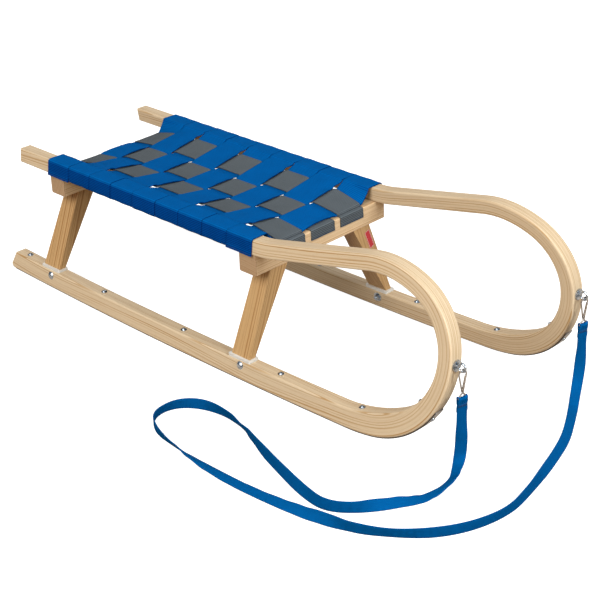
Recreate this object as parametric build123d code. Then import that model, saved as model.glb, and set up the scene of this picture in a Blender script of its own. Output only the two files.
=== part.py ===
from build123d import *
import os
from math import cos, pi, radians, sin, sqrt, tan

# Two-seater wooden sled. Each side is one bentwood piece that runs from the seat rail over the
# horn and round the front loop into the runner. Two yokes on four splayed legs carry the rails,
# woven webbing makes the seat, and a flat pull strap hangs from snap hooks in two eye bolts.
# Frame: +X forward, +Y to the left, +Z up. The origin lies on the floor at the middle of the sled.

# ---- Driving dimensions (millimetres and degrees) ----

# Whole sled
overall_length = 1164.0        # runner tails to the front of the eye rings
rail_top = 268.0               # height of the seat rail
floor_half_track = 187.5       # middle plane of a bentwood side, where it would meet the floor
lean = 7.8                     # each side leans inward by this angle towards the top

# Bentwood side
side_width = 28.0              # across the sled
rail_depth = 28.0              # height of the section in the rail, horn and front loop
runner_depth = 36.0            # height of the section in the runner
side_rounding = 3.5            # edges of the section
rail_rear_inset = 30.4         # rear end of the rail ahead of the runner's tail
knee_setback = 427.0           # corner where the horn starts to climb, behind the foremost point
knee_radius = 200.0
horn_angle = 12.0
peak_setback = 153.0           # highest point of the horn, behind the foremost point
peak_radius = 190.0
brow_radius = 125.0            # from the peak down to the foremost point
chin_lift = 12.2               # the chin's arc, run on to a full circle, would clear the floor by this
chin_inner_lift = 63.2         # the same for the inside of the chin
sweep_radius = 375.0           # outside, from the chin into the sole
sweep_inner_radius = 300.0
sole_radius = 15000.0          # slight rocker of the sole
sole_low_setback = 662.0       # where the sole touches the floor, behind the foremost point
tail_round = 9.0
tail_slope = 14.0              # how far the tail's top lies ahead of its foot

# Runner irons
iron_width = 20.0
iron_thickness = 2.0
iron_tip_angle = -29.5         # the iron ends on the chin at this angle
snug = 0.2                     # gap of a fitted strip, tenon or bolt

# Yokes
yoke_half_span = 165.5
yoke_height = 40.0
yoke_length = 42.0             # along the sled
yoke_front_setback = 459.4     # middle of the front yoke behind the foremost point
yoke_rear_inset = 146.7        # middle of the rear yoke ahead of the runners' tails
yoke_rounding = 3.0

# Legs, as (rear face, front face) ahead of the yoke's middle, at the yoke and at the foot
leg_front_top = (-19.6, 16.8)
leg_front_foot = (-28.2, 16.8)
leg_rear_top = (-25.3, 14.7)
leg_rear_foot = (-42.7, 6.7)
leg_top_inner = 85.0           # distance of the leg's inner face from the middle at the yoke
leg_top_outer = 127.5
leg_foot_thickness = 14.4
tenon_length = 30.0
tenon_thickness = 10.0
tenon_depth = 24.0
stub_size = 22.0               # square stub tenon into the yoke
stub_height = 16.0

# Collars between the legs' feet and the runners
collar_length = 55.0
collar_width = 24.0
collar_thickness = 5.0
collar_corner = 3.0
collar_inset = 0.3             # least depth of the flat seat cut for a collar
collar_front_shift = -5.6      # middle of the collar ahead of the yoke's middle
collar_rear_shift = -18.2

# Leg bolts, square to the leaning sides
leg_bolt_front_shift = 0.4     # bolt ahead of the yoke's middle
leg_bolt_rear_shift = -13.2
leg_bolt_height = 29.0
leg_bolt_diameter = 6.0
leg_bolt_head_diameter = 16.0
leg_bolt_head_height = 4.0
leg_bolt_washer_diameter = 18.0
leg_bolt_washer_thickness = 1.6
leg_bolt_nut_flats = 10.0
leg_bolt_nut_height = 5.0
leg_bolt_end = 2.0             # thread past the nut

# Eye bolts, just below the foremost points
eye_drop = 2.7
eye_ring_diameter = 18.0
eye_wire = 4.0
eye_washer_diameter = 20.0
eye_washer_thickness = 2.3
eye_sink = 0.3                 # the ring is forged this far into its washer
eye_shank_diameter = 5.0
eye_shank_length = 25.0

# Snap hooks of bent wire, hanging from the eyes, the wire crossing over itself at the neck
hook_turn = 15.0               # the hooks hang turned by this angle about the vertical
hook_ahead = 2.0               # and this far ahead of the middle of the eye
hook_wire = 2.8
hook_bar_height = 133.5        # bar that holds the strap
hook_bar_half = 6.8
hook_side = 4.0                # upright ends of the bar
hook_neck_rise = 13.5          # crossing above the bar
hook_neck_gap = 0.6            # between the crossing wires
hook_shoulder_drop = 10.7      # widest place below the eye's middle
hook_shoulder_half = 7.0
hook_top_half = 4.2            # level top, inside the eye
hook_bend = 2.1                # bend radius of the wire

# Webbing
webbing = 2.0                  # thickness
webbing_gap = 0.3              # between webbing and whatever it lies on or crosses
belt_width = 60.0              # lengthwise belts
cross_count = 9
cross_gap = 3.75               # between neighbouring cross belts
cross_front_inset = 7.7        # first cross belt behind the front yoke's front face
cross_rear_inset = 2.2         # last cross belt ahead of the rear yoke's rear face
long_spacing = 76.0            # between the middles of the three lengthwise belts
long_drop = 18.0               # how far the lengthwise belts run down the yokes' outer faces
outer_sag = 12.0               # below the rail top, at the outer belts
middle_sag = 18.6              # below the rail top, at the middle belt
end_sag = 2.6                  # extra sag at the inner edge of the first and last cross belt
fold_under = 18.0              # how far a cross belt folds under the rail
crossing_run = 0.4             # a belt stays level this far past the edge of the belt it crosses

# Pull strap, and its sewn loops round the hooks' bars
strap_width = 20.0
loop_leg = 17.6                # sewn double layer below the loop
loop_leg_thickness = 5.0
strap_tube = 7.0               # round tube with the webbing's section area
strap_hang = 30.2              # straight down from each loop

# Route of the pull strap between the hanging ends, as (distance ahead of the hooks, y, z): from
# the right hook it reaches the floor, runs back along the right runner, turns and crosses ahead
# of the sled to the left hook.
strap_route = [
    (-2.0, -158.5, 51.0),
    (-2.0, -162.0, 24.0),
    (8.0, -184.0, 10.0),
    (16.0, -220.0, 10.0),
    (8.0, -264.0, 10.0),
    (-18.0, -312.0, 10.0),
    (-44.0, -358.0, 10.0),
    (-87.0, -387.0, 10.0),
    (-139.0, -379.0, 10.0),
    (-203.0, -361.0, 10.0),
    (-267.0, -341.0, 10.0),
    (-331.0, -316.0, 10.0),
    (-391.0, -300.0, 10.0),
    (-451.0, -305.0, 10.0),
    (-489.0, -338.0, 10.0),
    (-489.0, -386.0, 10.0),
    (-454.0, -414.0, 10.0),
    (-395.0, -427.0, 10.0),
    (-327.0, -430.0, 10.0),
    (-259.0, -428.5, 10.0),
    (-191.0, -425.0, 10.0),
    (-125.0, -419.0, 10.0),
    (-63.0, -412.0, 10.0),
    (-5.0, -396.0, 10.0),
    (47.0, -364.0, 10.0),
    (89.0, -322.0, 10.0),
    (118.0, -270.0, 10.0),
    (132.0, -208.0, 10.0),
    (123.0, -150.0, 10.0),
    (109.0, -92.0, 10.0),
    (93.0, -34.0, 10.0),
    (75.0, 18.0, 10.0),
    (49.0, 68.0, 10.0),
    (24.0, 112.0, 10.0),
    (8.0, 142.0, 24.0),
    (1.5, 157.5, 50.0),
]

# ---- Values that follow from them ----

cos_lean = cos(radians(lean))
sin_lean = sin(radians(lean))
tan_lean = tan(radians(lean))
yoke_top = rail_top - rail_depth * cos_lean
yoke_bottom = yoke_top - yoke_height
eye_x = overall_length / 2 - eye_ring_diameter / 2
loop_front = overall_length / 2 - eye_ring_diameter - eye_washer_thickness + eye_sink
tail_x = -overall_length / 2
sole_bottom = iron_thickness + snug
rail_rear = tail_x + rail_rear_inset
knee_x = loop_front - knee_setback
peak_x = loop_front - peak_setback
yoke_front_x = loop_front - yoke_front_setback
yoke_rear_x = tail_x + yoke_rear_inset
sole_low_x = loop_front - sole_low_setback


# ---- Geometry shared by several sub-parts ----

def toward(start, target, distance):
    """Point at a distance from start, in the direction of target."""
    return start + (target - start).normalized() * distance


def arc(centre, start, end):
    """Arc of less than half a turn between two points at one distance from the centre."""
    middle = toward(centre, (start + end) * 0.5, (start - centre).length)
    return ThreePointArc(start, middle, end)


def tangent_centre(inner, inner_reach, outer, outer_reach):
    """Centre at the given distances from two others, on the rear side of the line between them."""
    span = (outer - inner).length
    along = (inner_reach**2 - outer_reach**2 + span**2) / (2 * span)
    aside = sqrt(inner_reach**2 - along**2)
    direction = (outer - inner).normalized()
    return inner + direction * along + Vector(-direction.Y, direction.X) * aside


def leaning_plane():
    """Middle plane of the left bentwood side: local x runs forward and local y up the slant."""
    return Plane((0, floor_half_track, 0), (1, 0, 0), (0, -cos_lean, -sin_lean))


def leaning_prism(face, width):
    """Extrudes a profile of the leaning plane across the sled, so that level edges stay level."""
    placed = leaning_plane().location * face
    return Pos(0, -width / 2, 0) * extrude(placed, width, dir=(0, 1, 0))


def middle_plane_y(height):
    """Distance of a side's middle plane from the middle of the sled at a height."""
    return floor_half_track - height * tan_lean


def leaning_axis(x, height):
    """Plane at a height on the left middle plane, its normal pointing square out of the side."""
    return Plane((x, middle_plane_y(height), height), (1, 0, 0), (0, cos_lean, sin_lean))


def offset_path(points, distance):
    """Path beside an open polyline, to its left, with mitred corners."""
    points = [Vector(*point) for point in points]
    runs = [(b - a).normalized() for a, b in zip(points, points[1:])]
    normals = [Vector(-run.Y, run.X) for run in runs]
    moved = [points[0] + normals[0] * distance]
    for point, before, after in zip(points[1:], normals, normals[1:]):
        bisector = before + after
        moved.append(point + bisector * (2 * distance / bisector.length**2))
    moved.append(points[-1] + normals[-1] * distance)
    return [(point.X, point.Y) for point in moved]


def ribbon(path, thickness):
    """Outline of a strip of webbing, seen along its width, about the path of its middle."""
    upper = offset_path(path, thickness / 2)
    lower = offset_path(path, -thickness / 2)
    return upper + lower[::-1]


# ---- Bentwood side: profile in the leaning plane ----

slant_top = rail_top / cos_lean
peak_foot = peak_x - peak_radius * sin(radians(horn_angle))
peak_foot_height = slant_top + (peak_foot - knee_x) * tan(radians(horn_angle))
peak_centre = Vector(peak_x, peak_foot_height - peak_radius * cos(radians(horn_angle)))
knee_run = knee_radius * tan(radians(horn_angle) / 2)
knee_centre = Vector(knee_x - knee_run, slant_top + knee_radius)
brow_x = loop_front - brow_radius
brow_centre = Vector(
    brow_x, peak_centre.Y + sqrt((peak_radius - brow_radius) ** 2 - (brow_x - peak_x) ** 2)
)
chin_radius = brow_centre.Y - chin_lift
chin_inner_radius = brow_centre.Y - chin_inner_lift
chin_centre = Vector(loop_front - chin_radius, brow_centre.Y)
chin_inner_centre = Vector(loop_front - rail_depth - chin_inner_radius, brow_centre.Y)
sole_centre = Vector(sole_low_x, sole_bottom + sole_radius)
sweep_centre = tangent_centre(
    chin_centre, sweep_radius - chin_radius, sole_centre, sole_radius - sweep_radius
)
sweep_inner_centre = tangent_centre(
    chin_inner_centre,
    sweep_inner_radius - chin_inner_radius,
    sole_centre,
    sole_radius - runner_depth - sweep_inner_radius,
)
tail_centre_x = tail_x + tail_round
tail_centre = Vector(
    tail_centre_x,
    sole_centre.Y - sqrt((sole_radius - tail_round) ** 2 - (tail_centre_x - sole_low_x) ** 2),
)


def runner_top_slant(x):
    """Slant height of the runner's upper face."""
    return sole_centre.Y - sqrt((sole_radius - runner_depth) ** 2 - (x - sole_low_x) ** 2)


def sole_arcs(outset, tip_angle):
    """Sole, sweep and chin, moved outward by outset, from the tail to an angle on the chin."""
    tip = Vector(cos(radians(tip_angle)), sin(radians(tip_angle)))
    start = toward(sole_centre, tail_centre, sole_radius + outset)
    sole_end = toward(sole_centre, sweep_centre, sole_radius + outset)
    sweep_end = toward(sweep_centre, chin_centre, sweep_radius + outset)
    chin_end = chin_centre + tip * (chin_radius + outset)
    return [
        arc(sole_centre, start, sole_end),
        arc(sweep_centre, sole_end, sweep_end),
        arc(chin_centre, sweep_end, chin_end),
    ]


def upper_arcs(inset):
    """Brow, peak, horn, knee and rail, moved inward by inset, from the foremost point back."""
    rise = Vector(-sin(radians(horn_angle)), cos(radians(horn_angle)))
    foremost = brow_centre + Vector(brow_radius - inset, 0)
    brow_end = toward(peak_centre, brow_centre, peak_radius - inset)
    peak_end = peak_centre + rise * (peak_radius - inset)
    horn_end = knee_centre - rise * (knee_radius + inset)
    knee_end = knee_centre - Vector(0, knee_radius + inset)
    rail_end = Vector(rail_rear, slant_top - inset)
    return [
        arc(brow_centre, foremost, brow_end),
        arc(peak_centre, brow_end, peak_end),
        Line(peak_end, horn_end),
        arc(knee_centre, horn_end, knee_end),
        Line(knee_end, rail_end),
    ]


def side_profile():
    """Closed outline of one bentwood side."""
    outer = sole_arcs(0, 0) + upper_arcs(0)
    inner = upper_arcs(rail_depth)
    chin_end = toward(sweep_inner_centre, chin_inner_centre, sweep_inner_radius)
    sweep_end = toward(sole_centre, sweep_inner_centre, sole_radius - runner_depth)
    tail_top = Vector(tail_x + tail_slope, runner_top_slant(tail_x + tail_slope))
    tail_foot = tail_centre - Vector(tail_round, 0)
    lower = [
        arc(chin_inner_centre, inner[0] @ 0, chin_end),
        arc(sweep_inner_centre, chin_end, sweep_end),
        arc(sole_centre, sweep_end, tail_top),
        Line(tail_top, tail_foot),
        arc(tail_centre, tail_foot, outer[0] @ 0),
    ]
    rail_end = Line(outer[-1] @ 1, inner[-1] @ 1)
    edges = [*outer, rail_end, *inner, *lower]
    return make_face(Wire([edge.edge() for edge in edges]))


# ---- Legs, collars and their seats ----

def collar_seat(x):
    """Height of the flat seat under a collar."""
    lowest = min(runner_top_slant(x - collar_length / 2), runner_top_slant(x + collar_length / 2))
    return lowest * cos_lean - collar_inset


def tenon_prism(x, clearance):
    """Foot tenon, or its mortise where a clearance is given."""
    top = (collar_seat(x) + collar_thickness) / cos_lean
    profile = Pos(x, top - tenon_depth / 2) * Rectangle(
        tenon_length + 2 * clearance, tenon_depth + 2 * clearance
    )
    return leaning_prism(profile, tenon_thickness + 2 * clearance)


def level_box(x, y, bottom, length, width, height):
    """Upright block by the middle of its base."""
    block = Box(length, width, height, align=(Align.CENTER, Align.CENTER, Align.MIN))
    return Pos(x, y, bottom) * block


def bolt_hole(x):
    """Clearance hole of a leg bolt."""
    hole = Cylinder(leg_bolt_diameter / 2 + snug, 3 * side_width)
    return leaning_axis(x, leg_bolt_height) * hole


def leg(yoke_x, top_range, foot_range, x, bolt_x):
    """Splayed left leg with a foot tenon on the collar at x and a stub tenon into the yoke."""
    foot = collar_seat(x) + collar_thickness
    top_y = (leg_top_inner + leg_top_outer) / 2
    top_x = yoke_x + (top_range[0] + top_range[1]) / 2
    foot_x = yoke_x + (foot_range[0] + foot_range[1]) / 2
    top_face = Pos(top_x, top_y, yoke_bottom) * Rectangle(
        top_range[1] - top_range[0], leg_top_outer - leg_top_inner
    )
    foot_face = Pos(foot_x, middle_plane_y(foot), foot) * Rectangle(
        foot_range[1] - foot_range[0], leg_foot_thickness
    )
    body = loft([foot_face, top_face], ruled=True)
    stub = level_box(top_x, top_y, yoke_bottom, stub_size, stub_size, stub_height)
    return body + stub + tenon_prism(x, 0) - bolt_hole(bolt_x)


def collar(x):
    """Plate that the left leg stands on, let into the runner."""
    seat = collar_seat(x)
    y = middle_plane_y(seat + collar_thickness / 2)
    plate = level_box(x, y, seat, collar_length, collar_width, collar_thickness)
    plate = fillet(plate.edges().filter_by(Axis.Z), collar_corner)
    return plate - tenon_prism(x, snug)


def yoke(x, leg_top):
    """Crossbar under both rails, with mortises for the legs' stub tenons."""
    bar = level_box(x, 0, yoke_bottom, yoke_length, 2 * yoke_half_span, yoke_height)
    bar = fillet(bar.edges().filter_by(Axis.Y), yoke_rounding)
    top_x = x + (leg_top[0] + leg_top[1]) / 2
    top_y = (leg_top_inner + leg_top_outer) / 2
    mortise = stub_size + 2 * snug
    for y in (-top_y, top_y):
        bar -= level_box(top_x, y, yoke_bottom, mortise, mortise, stub_height + snug)
    return bar


def leg_bolt(x):
    """Dome-headed bolt through runner and tenon, with washer and nut on the inside."""
    half = side_width * cos_lean / 2
    axis = leaning_axis(x, leg_bolt_height)
    dome_radius = leg_bolt_head_diameter / 2
    sphere_radius = (dome_radius**2 + leg_bolt_head_height**2) / (2 * leg_bolt_head_height)
    dome = Pos(0, 0, half + leg_bolt_head_height - sphere_radius) * Sphere(sphere_radius)
    dome &= Pos(0, 0, half + leg_bolt_head_height / 2) * Cylinder(2 * dome_radius, leg_bolt_head_height)
    inner_stack = leg_bolt_washer_thickness + leg_bolt_nut_height + leg_bolt_end
    shank = Pos(0, 0, -inner_stack / 2) * Cylinder(leg_bolt_diameter / 2, 2 * half + inner_stack)
    washer = Pos(0, 0, -half - leg_bolt_washer_thickness / 2) * Cylinder(
        leg_bolt_washer_diameter / 2, leg_bolt_washer_thickness
    )
    nut_face = RegularPolygon(leg_bolt_nut_flats / 2, 6, major_radius=False)
    nut_start = -half - leg_bolt_washer_thickness - leg_bolt_nut_height
    nut = Pos(0, 0, nut_start) * extrude(nut_face, leg_bolt_nut_height)
    return axis * (dome + shank + washer + nut)


# ---- Runner irons and bentwood sides ----

def runner_iron():
    """Left steel strip under the sole, up to the middle of the chin."""
    inner = sole_arcs(snug, iron_tip_angle)
    outer = sole_arcs(snug + iron_thickness, iron_tip_angle)
    tail_end = Line(inner[0] @ 0, outer[0] @ 0)
    tip_end = Line(inner[-1] @ 1, outer[-1] @ 1)
    edges = [*inner, tip_end, *outer, tail_end]
    profile = make_face(Wire([edge.edge() for edge in edges]))
    return leaning_prism(profile, iron_width)


eye_height = brow_centre.Y * cos_lean - eye_drop
eye_y = middle_plane_y(eye_height)


def bentwood():
    """Left side, with the seats, mortises and holes of what is fixed to it."""
    body = leaning_prism(side_profile(), side_width)
    flanks = body.faces().sort_by(SortBy.AREA)[-2:]
    body = fillet(flanks.edges(), side_rounding)
    for yoke_x, collar_shift, bolt_shift in (
        (yoke_front_x, collar_front_shift, leg_bolt_front_shift),
        (yoke_rear_x, collar_rear_shift, leg_bolt_rear_shift),
    ):
        x = yoke_x + collar_shift
        seat = collar_seat(x)
        y = middle_plane_y(seat + collar_thickness / 2)
        pocket_length = collar_length + 2 * snug
        body -= level_box(x, y, seat, pocket_length, collar_width + 2 * snug, collar_thickness)
        body -= tenon_prism(x, snug)
        body -= bolt_hole(yoke_x + bolt_shift)
    hole_length = eye_shank_length + 2 * snug
    mouth = Plane((loop_front, eye_y, eye_height), z_dir=(-1, 0, 0))
    return body - mouth * Cylinder(eye_shank_diameter / 2 + snug, 2 * hole_length)


# ---- Eye bolts, snap hooks and the strap's sewn loops ----

hook_x = eye_x + hook_ahead
loop_inner_radius = hook_wire / 2 + webbing_gap
loop_outer_radius = loop_inner_radius + webbing

def eye_bolt():
    """Left closed ring on a washer, with a screw shank that runs back into the wood."""
    ring = Plane.XZ * Torus(eye_ring_diameter / 2 - eye_wire / 2, eye_wire / 2)
    back = loop_front - eye_x
    washer_x = back + eye_washer_thickness / 2
    washer = Pos(washer_x, 0, 0) * Rot(0, 90, 0) * Cylinder(
        eye_washer_diameter / 2, eye_washer_thickness
    )
    shank_front = -eye_ring_diameter / 2 + eye_wire / 2
    shank_span = shank_front - back + eye_shank_length
    shank = Pos(shank_front - shank_span / 2, 0, 0) * Rot(0, 90, 0) * Cylinder(
        eye_shank_diameter / 2, shank_span
    )
    return Pos(eye_x, eye_y, eye_height) * (ring + washer + shank)


def snap_hook(side):
    """Closed wire: through the eye at the top, crossing at the neck, round a straight bar below."""
    reach = eye_ring_diameter / 2 - eye_wire - webbing_gap - hook_wire / 2
    top = eye_height - sqrt(reach**2 - hook_ahead**2)
    ahead = (hook_wire + hook_neck_gap) / 2
    half = [
        (0, 0, top),
        (0, hook_top_half, top),
        (0, hook_shoulder_half, eye_height - hook_shoulder_drop),
        (ahead, 0, hook_bar_height + hook_neck_rise),
        (0, -hook_bar_half, hook_bar_height + hook_side),
        (0, -hook_bar_half, hook_bar_height),
        (0, 0, hook_bar_height),
    ]
    path = FilletPolyline(*half, radius=hook_bend)
    start = Plane(path @ 0, z_dir=path % 0)
    wire = sweep(start * Circle(hook_wire / 2), path=path)
    both = wire + Rot(0, 0, 180) * wire
    return Pos(hook_x, side * eye_y, 0) * Rot(0, 0, -hook_turn) * both


def strap_loop(side):
    """End of the pull strap, gathered and folded round the hook's bar and sewn to itself."""
    pinched_half = hook_bar_half - hook_wire / 2 - webbing_gap
    leg_top = -(loop_inner_radius + loop_outer_radius) / 2
    leg_bottom = -loop_outer_radius - loop_leg
    leg_face = Pos(0, (leg_top + leg_bottom) / 2) * Rectangle(
        loop_leg_thickness, leg_top - leg_bottom
    )
    ring_face = Circle(loop_outer_radius) - Circle(loop_inner_radius)
    ring = extrude(ring_face, pinched_half, both=True)
    layers = extrude(leg_face, strap_width / 2, both=True)
    place = Pos(hook_x, side * eye_y, hook_bar_height) * Rot(0, 0, -hook_turn)
    return place * (Plane.XZ * (ring + layers))


# ---- Seat webbing ----

yoke_front_face = yoke_front_x + yoke_length / 2
yoke_rear_face = yoke_rear_x - yoke_length / 2
cross_front = yoke_front_face - cross_front_inset
cross_span = cross_front - yoke_rear_face - cross_rear_inset
cross_pitch = (cross_span + cross_gap) / cross_count
cross_width = cross_pitch - cross_gap
lift = webbing_gap + webbing / 2           # middle of a belt above what it lies on
level = lift - webbing_gap / 2             # middle of a belt above or below a crossing's middle


def belt_edges(number):
    """Rear and front edge of a cross belt."""
    front = cross_front - number * cross_pitch
    return front - cross_width, front


def crossing_height(x, sag):
    """Middle height between the two layers where belts cross, lower towards the yokes."""
    first_rear = belt_edges(0)[0]
    second_rear = belt_edges(1)[0]
    last_front = belt_edges(cross_count - 1)[1]
    before_last_front = belt_edges(cross_count - 2)[1]
    yoke_level = yoke_top + lift + level
    full = rail_top - sag
    knots = [
        (yoke_rear_face, yoke_level),
        (last_front, full - end_sag),
        (before_last_front, full),
        (second_rear, full),
        (first_rear, full - end_sag),
        (yoke_front_face, yoke_level),
    ]
    for (x0, z0), (x1, z1) in zip(knots, knots[1:]):
        if x <= x1:
            return z0 + (z1 - z0) * (x - x0) / (x1 - x0)
    return yoke_level


def rail_wrap(end_fold):
    """Path of a cross belt's middle over the rail's top, down its outer face and under it."""
    inner_top = middle_plane_y(rail_top) - side_width / 2
    outer_top = inner_top + side_width
    outer_bottom = middle_plane_y(yoke_top) + side_width / 2
    outline = [(inner_top - 1, rail_top), (outer_top, rail_top), (outer_bottom, yoke_top)]
    if end_fold > 0:
        outline.append((outer_bottom - end_fold, yoke_top))
    return offset_path(outline, lift)


def cross_path(number, x):
    """Path of a cross belt's middle at one of its edges, from the right side to the left."""
    over = level if number % 2 else -level
    outer_height = crossing_height(x, outer_sag) + over
    middle_height = crossing_height(x, middle_sag) - over
    half = belt_width / 2 + crossing_run
    seat = [
        (half, middle_height),
        (long_spacing - half, outer_height),
        (long_spacing + half, outer_height),
    ]
    at_end = number in (0, cross_count - 1)
    left = seat + rail_wrap(0 if at_end else fold_under)
    right = [(-y, z) for y, z in left[::-1]]
    return right + left


def cross_belt(number):
    """Cross belt, woven over and under the three lengthwise ones."""
    rear, front = belt_edges(number)
    sections = []
    for x in (rear, front):
        outline = ribbon(cross_path(number, x), webbing)
        sections.append(make_face(Polyline(*[(x, y, z) for y, z in outline], close=True)))
    return loft(sections, ruled=True)


def long_path(column):
    """Path of a lengthwise belt's middle, from the rear yoke to the front one."""
    sag = outer_sag if column else middle_sag
    path = [(yoke_rear_face - lift, yoke_top - long_drop), (yoke_rear_face - lift, yoke_top + lift)]
    for number in reversed(range(cross_count)):
        under = number % 2 == (1 if column else 0)
        offset = -level if under else level
        rear, front = belt_edges(number)
        rear_height = crossing_height(rear, sag) + offset
        front_height = crossing_height(front, sag) + offset
        slope = (front_height - rear_height) / cross_width
        path.append((rear - crossing_run, rear_height - slope * crossing_run))
        path.append((front + crossing_run, front_height + slope * crossing_run))
    path.append((yoke_front_face + lift, yoke_top + lift))
    path.append((yoke_front_face + lift, yoke_top - long_drop))
    return path


def long_belt(column):
    """Lengthwise belt, its ends fixed to the outer faces of the yokes."""
    outline = ribbon(long_path(column), webbing)
    y = column * long_spacing - belt_width / 2
    face = make_face(Polyline(*[(x, y, z) for x, z in outline], close=True))
    return extrude(face, belt_width, dir=(0, 1, 0))


# ---- Pull strap ----

def pull_strap():
    """Round tube along the strap's route, of straight runs and tangent arcs."""
    loop_end = hook_bar_height - loop_outer_radius - loop_leg
    right = [Vector(hook_x, -eye_y, z) for z in (loop_end, loop_end - strap_hang)]
    left = [Vector(hook_x, eye_y, z) for z in (loop_end - strap_hang, loop_end)]
    points = right + [Vector(hook_x + ahead, y, z) for ahead, y, z in strap_route] + left
    runs = [b - a for a, b in zip(points, points[1:])]
    radii = []
    for before, after in zip(runs, runs[1:]):
        half_turn = radians(before.get_angle(after)) / 2
        radii.append(0.45 * min(before.length, after.length) / tan(half_turn))
    path = FilletPolyline(*points, radius=radii)
    start = Plane(path @ 0, z_dir=path % 0)
    tube = sweep(start * Circle(strap_tube / 2), path=path)
    section = pi * strap_tube**2 / 4
    print("strap radii", [round(radius) for radius in radii])
    print("strap length", round(path.length, 1), "volume", round(tube.volume))
    print("section times length", round(section * path.length))
    return tube


# ---- Write the sub-parts ----

def save(shape, name):
    """Writes one sub-part to its own file."""
    export_step(shape, f"parts/{name}.step")


def save_pair(shape, name):
    """Writes a left sub-part and its mirror image on the right."""
    save(shape, f"{name}_left")
    save(mirror(shape, about=Plane.XZ), f"{name}_right")


os.makedirs("parts", exist_ok=True)
save_pair(bentwood(), "bentwood")
save_pair(runner_iron(), "runner_iron")
save_pair(eye_bolt(), "eye_bolt")
for end, yoke_x, top_range, foot_range, collar_shift, bolt_shift in (
    ("front", yoke_front_x, leg_front_top, leg_front_foot, collar_front_shift, leg_bolt_front_shift),
    ("rear", yoke_rear_x, leg_rear_top, leg_rear_foot, collar_rear_shift, leg_bolt_rear_shift),
):
    collar_x = yoke_x + collar_shift
    bolt_x = yoke_x + bolt_shift
    save_pair(leg(yoke_x, top_range, foot_range, collar_x, bolt_x), f"leg_{end}")
    save_pair(collar(collar_x), f"collar_{end}")
    save_pair(leg_bolt(bolt_x), f"leg_bolt_{end}")
for side_name, side in (("left", 1), ("right", -1)):
    save(snap_hook(side), f"snap_hook_{side_name}")
    save(strap_loop(side), f"strap_loop_{side_name}")
save(yoke(yoke_front_x, leg_front_top), "yoke_front")
save(yoke(yoke_rear_x, leg_rear_top), "yoke_rear")
for number in range(cross_count):
    save(cross_belt(number), f"cross_belt_{number + 1}")
for column, column_name in ((-1, "right"), (0, "middle"), (1, "left")):
    save(long_belt(column), f"long_belt_{column_name}")
save(pull_strap(), "pull_strap")
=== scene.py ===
import bpy
import bmesh
from math import atan2, cos, pi, radians, sin, sqrt, tan
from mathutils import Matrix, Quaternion, Vector


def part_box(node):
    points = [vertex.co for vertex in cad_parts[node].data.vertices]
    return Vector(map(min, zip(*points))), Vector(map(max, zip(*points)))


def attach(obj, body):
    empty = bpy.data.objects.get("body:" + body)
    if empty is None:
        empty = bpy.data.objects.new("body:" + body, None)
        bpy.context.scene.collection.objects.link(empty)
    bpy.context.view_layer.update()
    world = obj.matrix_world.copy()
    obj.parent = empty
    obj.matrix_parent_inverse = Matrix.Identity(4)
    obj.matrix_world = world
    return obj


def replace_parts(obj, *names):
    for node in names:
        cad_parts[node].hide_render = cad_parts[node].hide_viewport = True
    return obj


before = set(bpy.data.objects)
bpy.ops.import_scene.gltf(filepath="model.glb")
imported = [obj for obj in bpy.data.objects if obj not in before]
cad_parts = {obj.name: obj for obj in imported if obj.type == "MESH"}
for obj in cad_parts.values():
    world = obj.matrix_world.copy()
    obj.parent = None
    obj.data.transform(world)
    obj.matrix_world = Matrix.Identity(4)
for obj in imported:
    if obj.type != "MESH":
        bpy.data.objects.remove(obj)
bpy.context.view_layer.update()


# ---- Camera ----
# A product camera on a high stand, ahead of the sled and to its right. A long lens keeps the two
# sides nearly parallel, and the head leans by two degrees.

camera_place = Vector((1.8052, -1.7245, 1.3245))
camera_aim = Vector((0.0158, 0.0443, 0.0386))
camera_lean = radians(-1.94)
camera_data = bpy.data.cameras.new("camera")
camera_data.lens = 88.78
camera_data.sensor_width = 36.0
camera = bpy.data.objects.new("camera", camera_data)
camera.location = camera_place
facing = (camera_aim - camera_place).to_track_quat("-Z", "Y")
camera.rotation_euler = (facing @ Quaternion((0, 0, 1), camera_lean)).to_euler()
bpy.context.scene.collection.objects.link(camera)
bpy.context.scene.camera = camera


# ---- Pull strap ----
# One length of flat polypropylene webbing, 20 mm wide and 2 mm thick, woven with fine ribs. It
# hangs from the two snap hooks and lies loose on the floor ahead of the sled, now flat and now on
# its edge.

strap_width = 0.020
strap_thickness = 0.002
strap_blue = (0.0008, 0.108, 0.345)
strap_hang = 0.0302
floor_gap = 0.0003

# The hooks stand turned, and the strap twists on as it hangs from them
hook_turn = radians(15)
hang_twist = radians(30)
twisting = (0.006, 0.030)  # shares of its length from either hook
settling = (0.030, 0.066)  # shares over which it comes down from the right hook
lifting = (0.945, 0.985)  # shares over which it rises to the left hook
lying = (0.0105, 0.014)  # heights between which it leaves the floor

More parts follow.
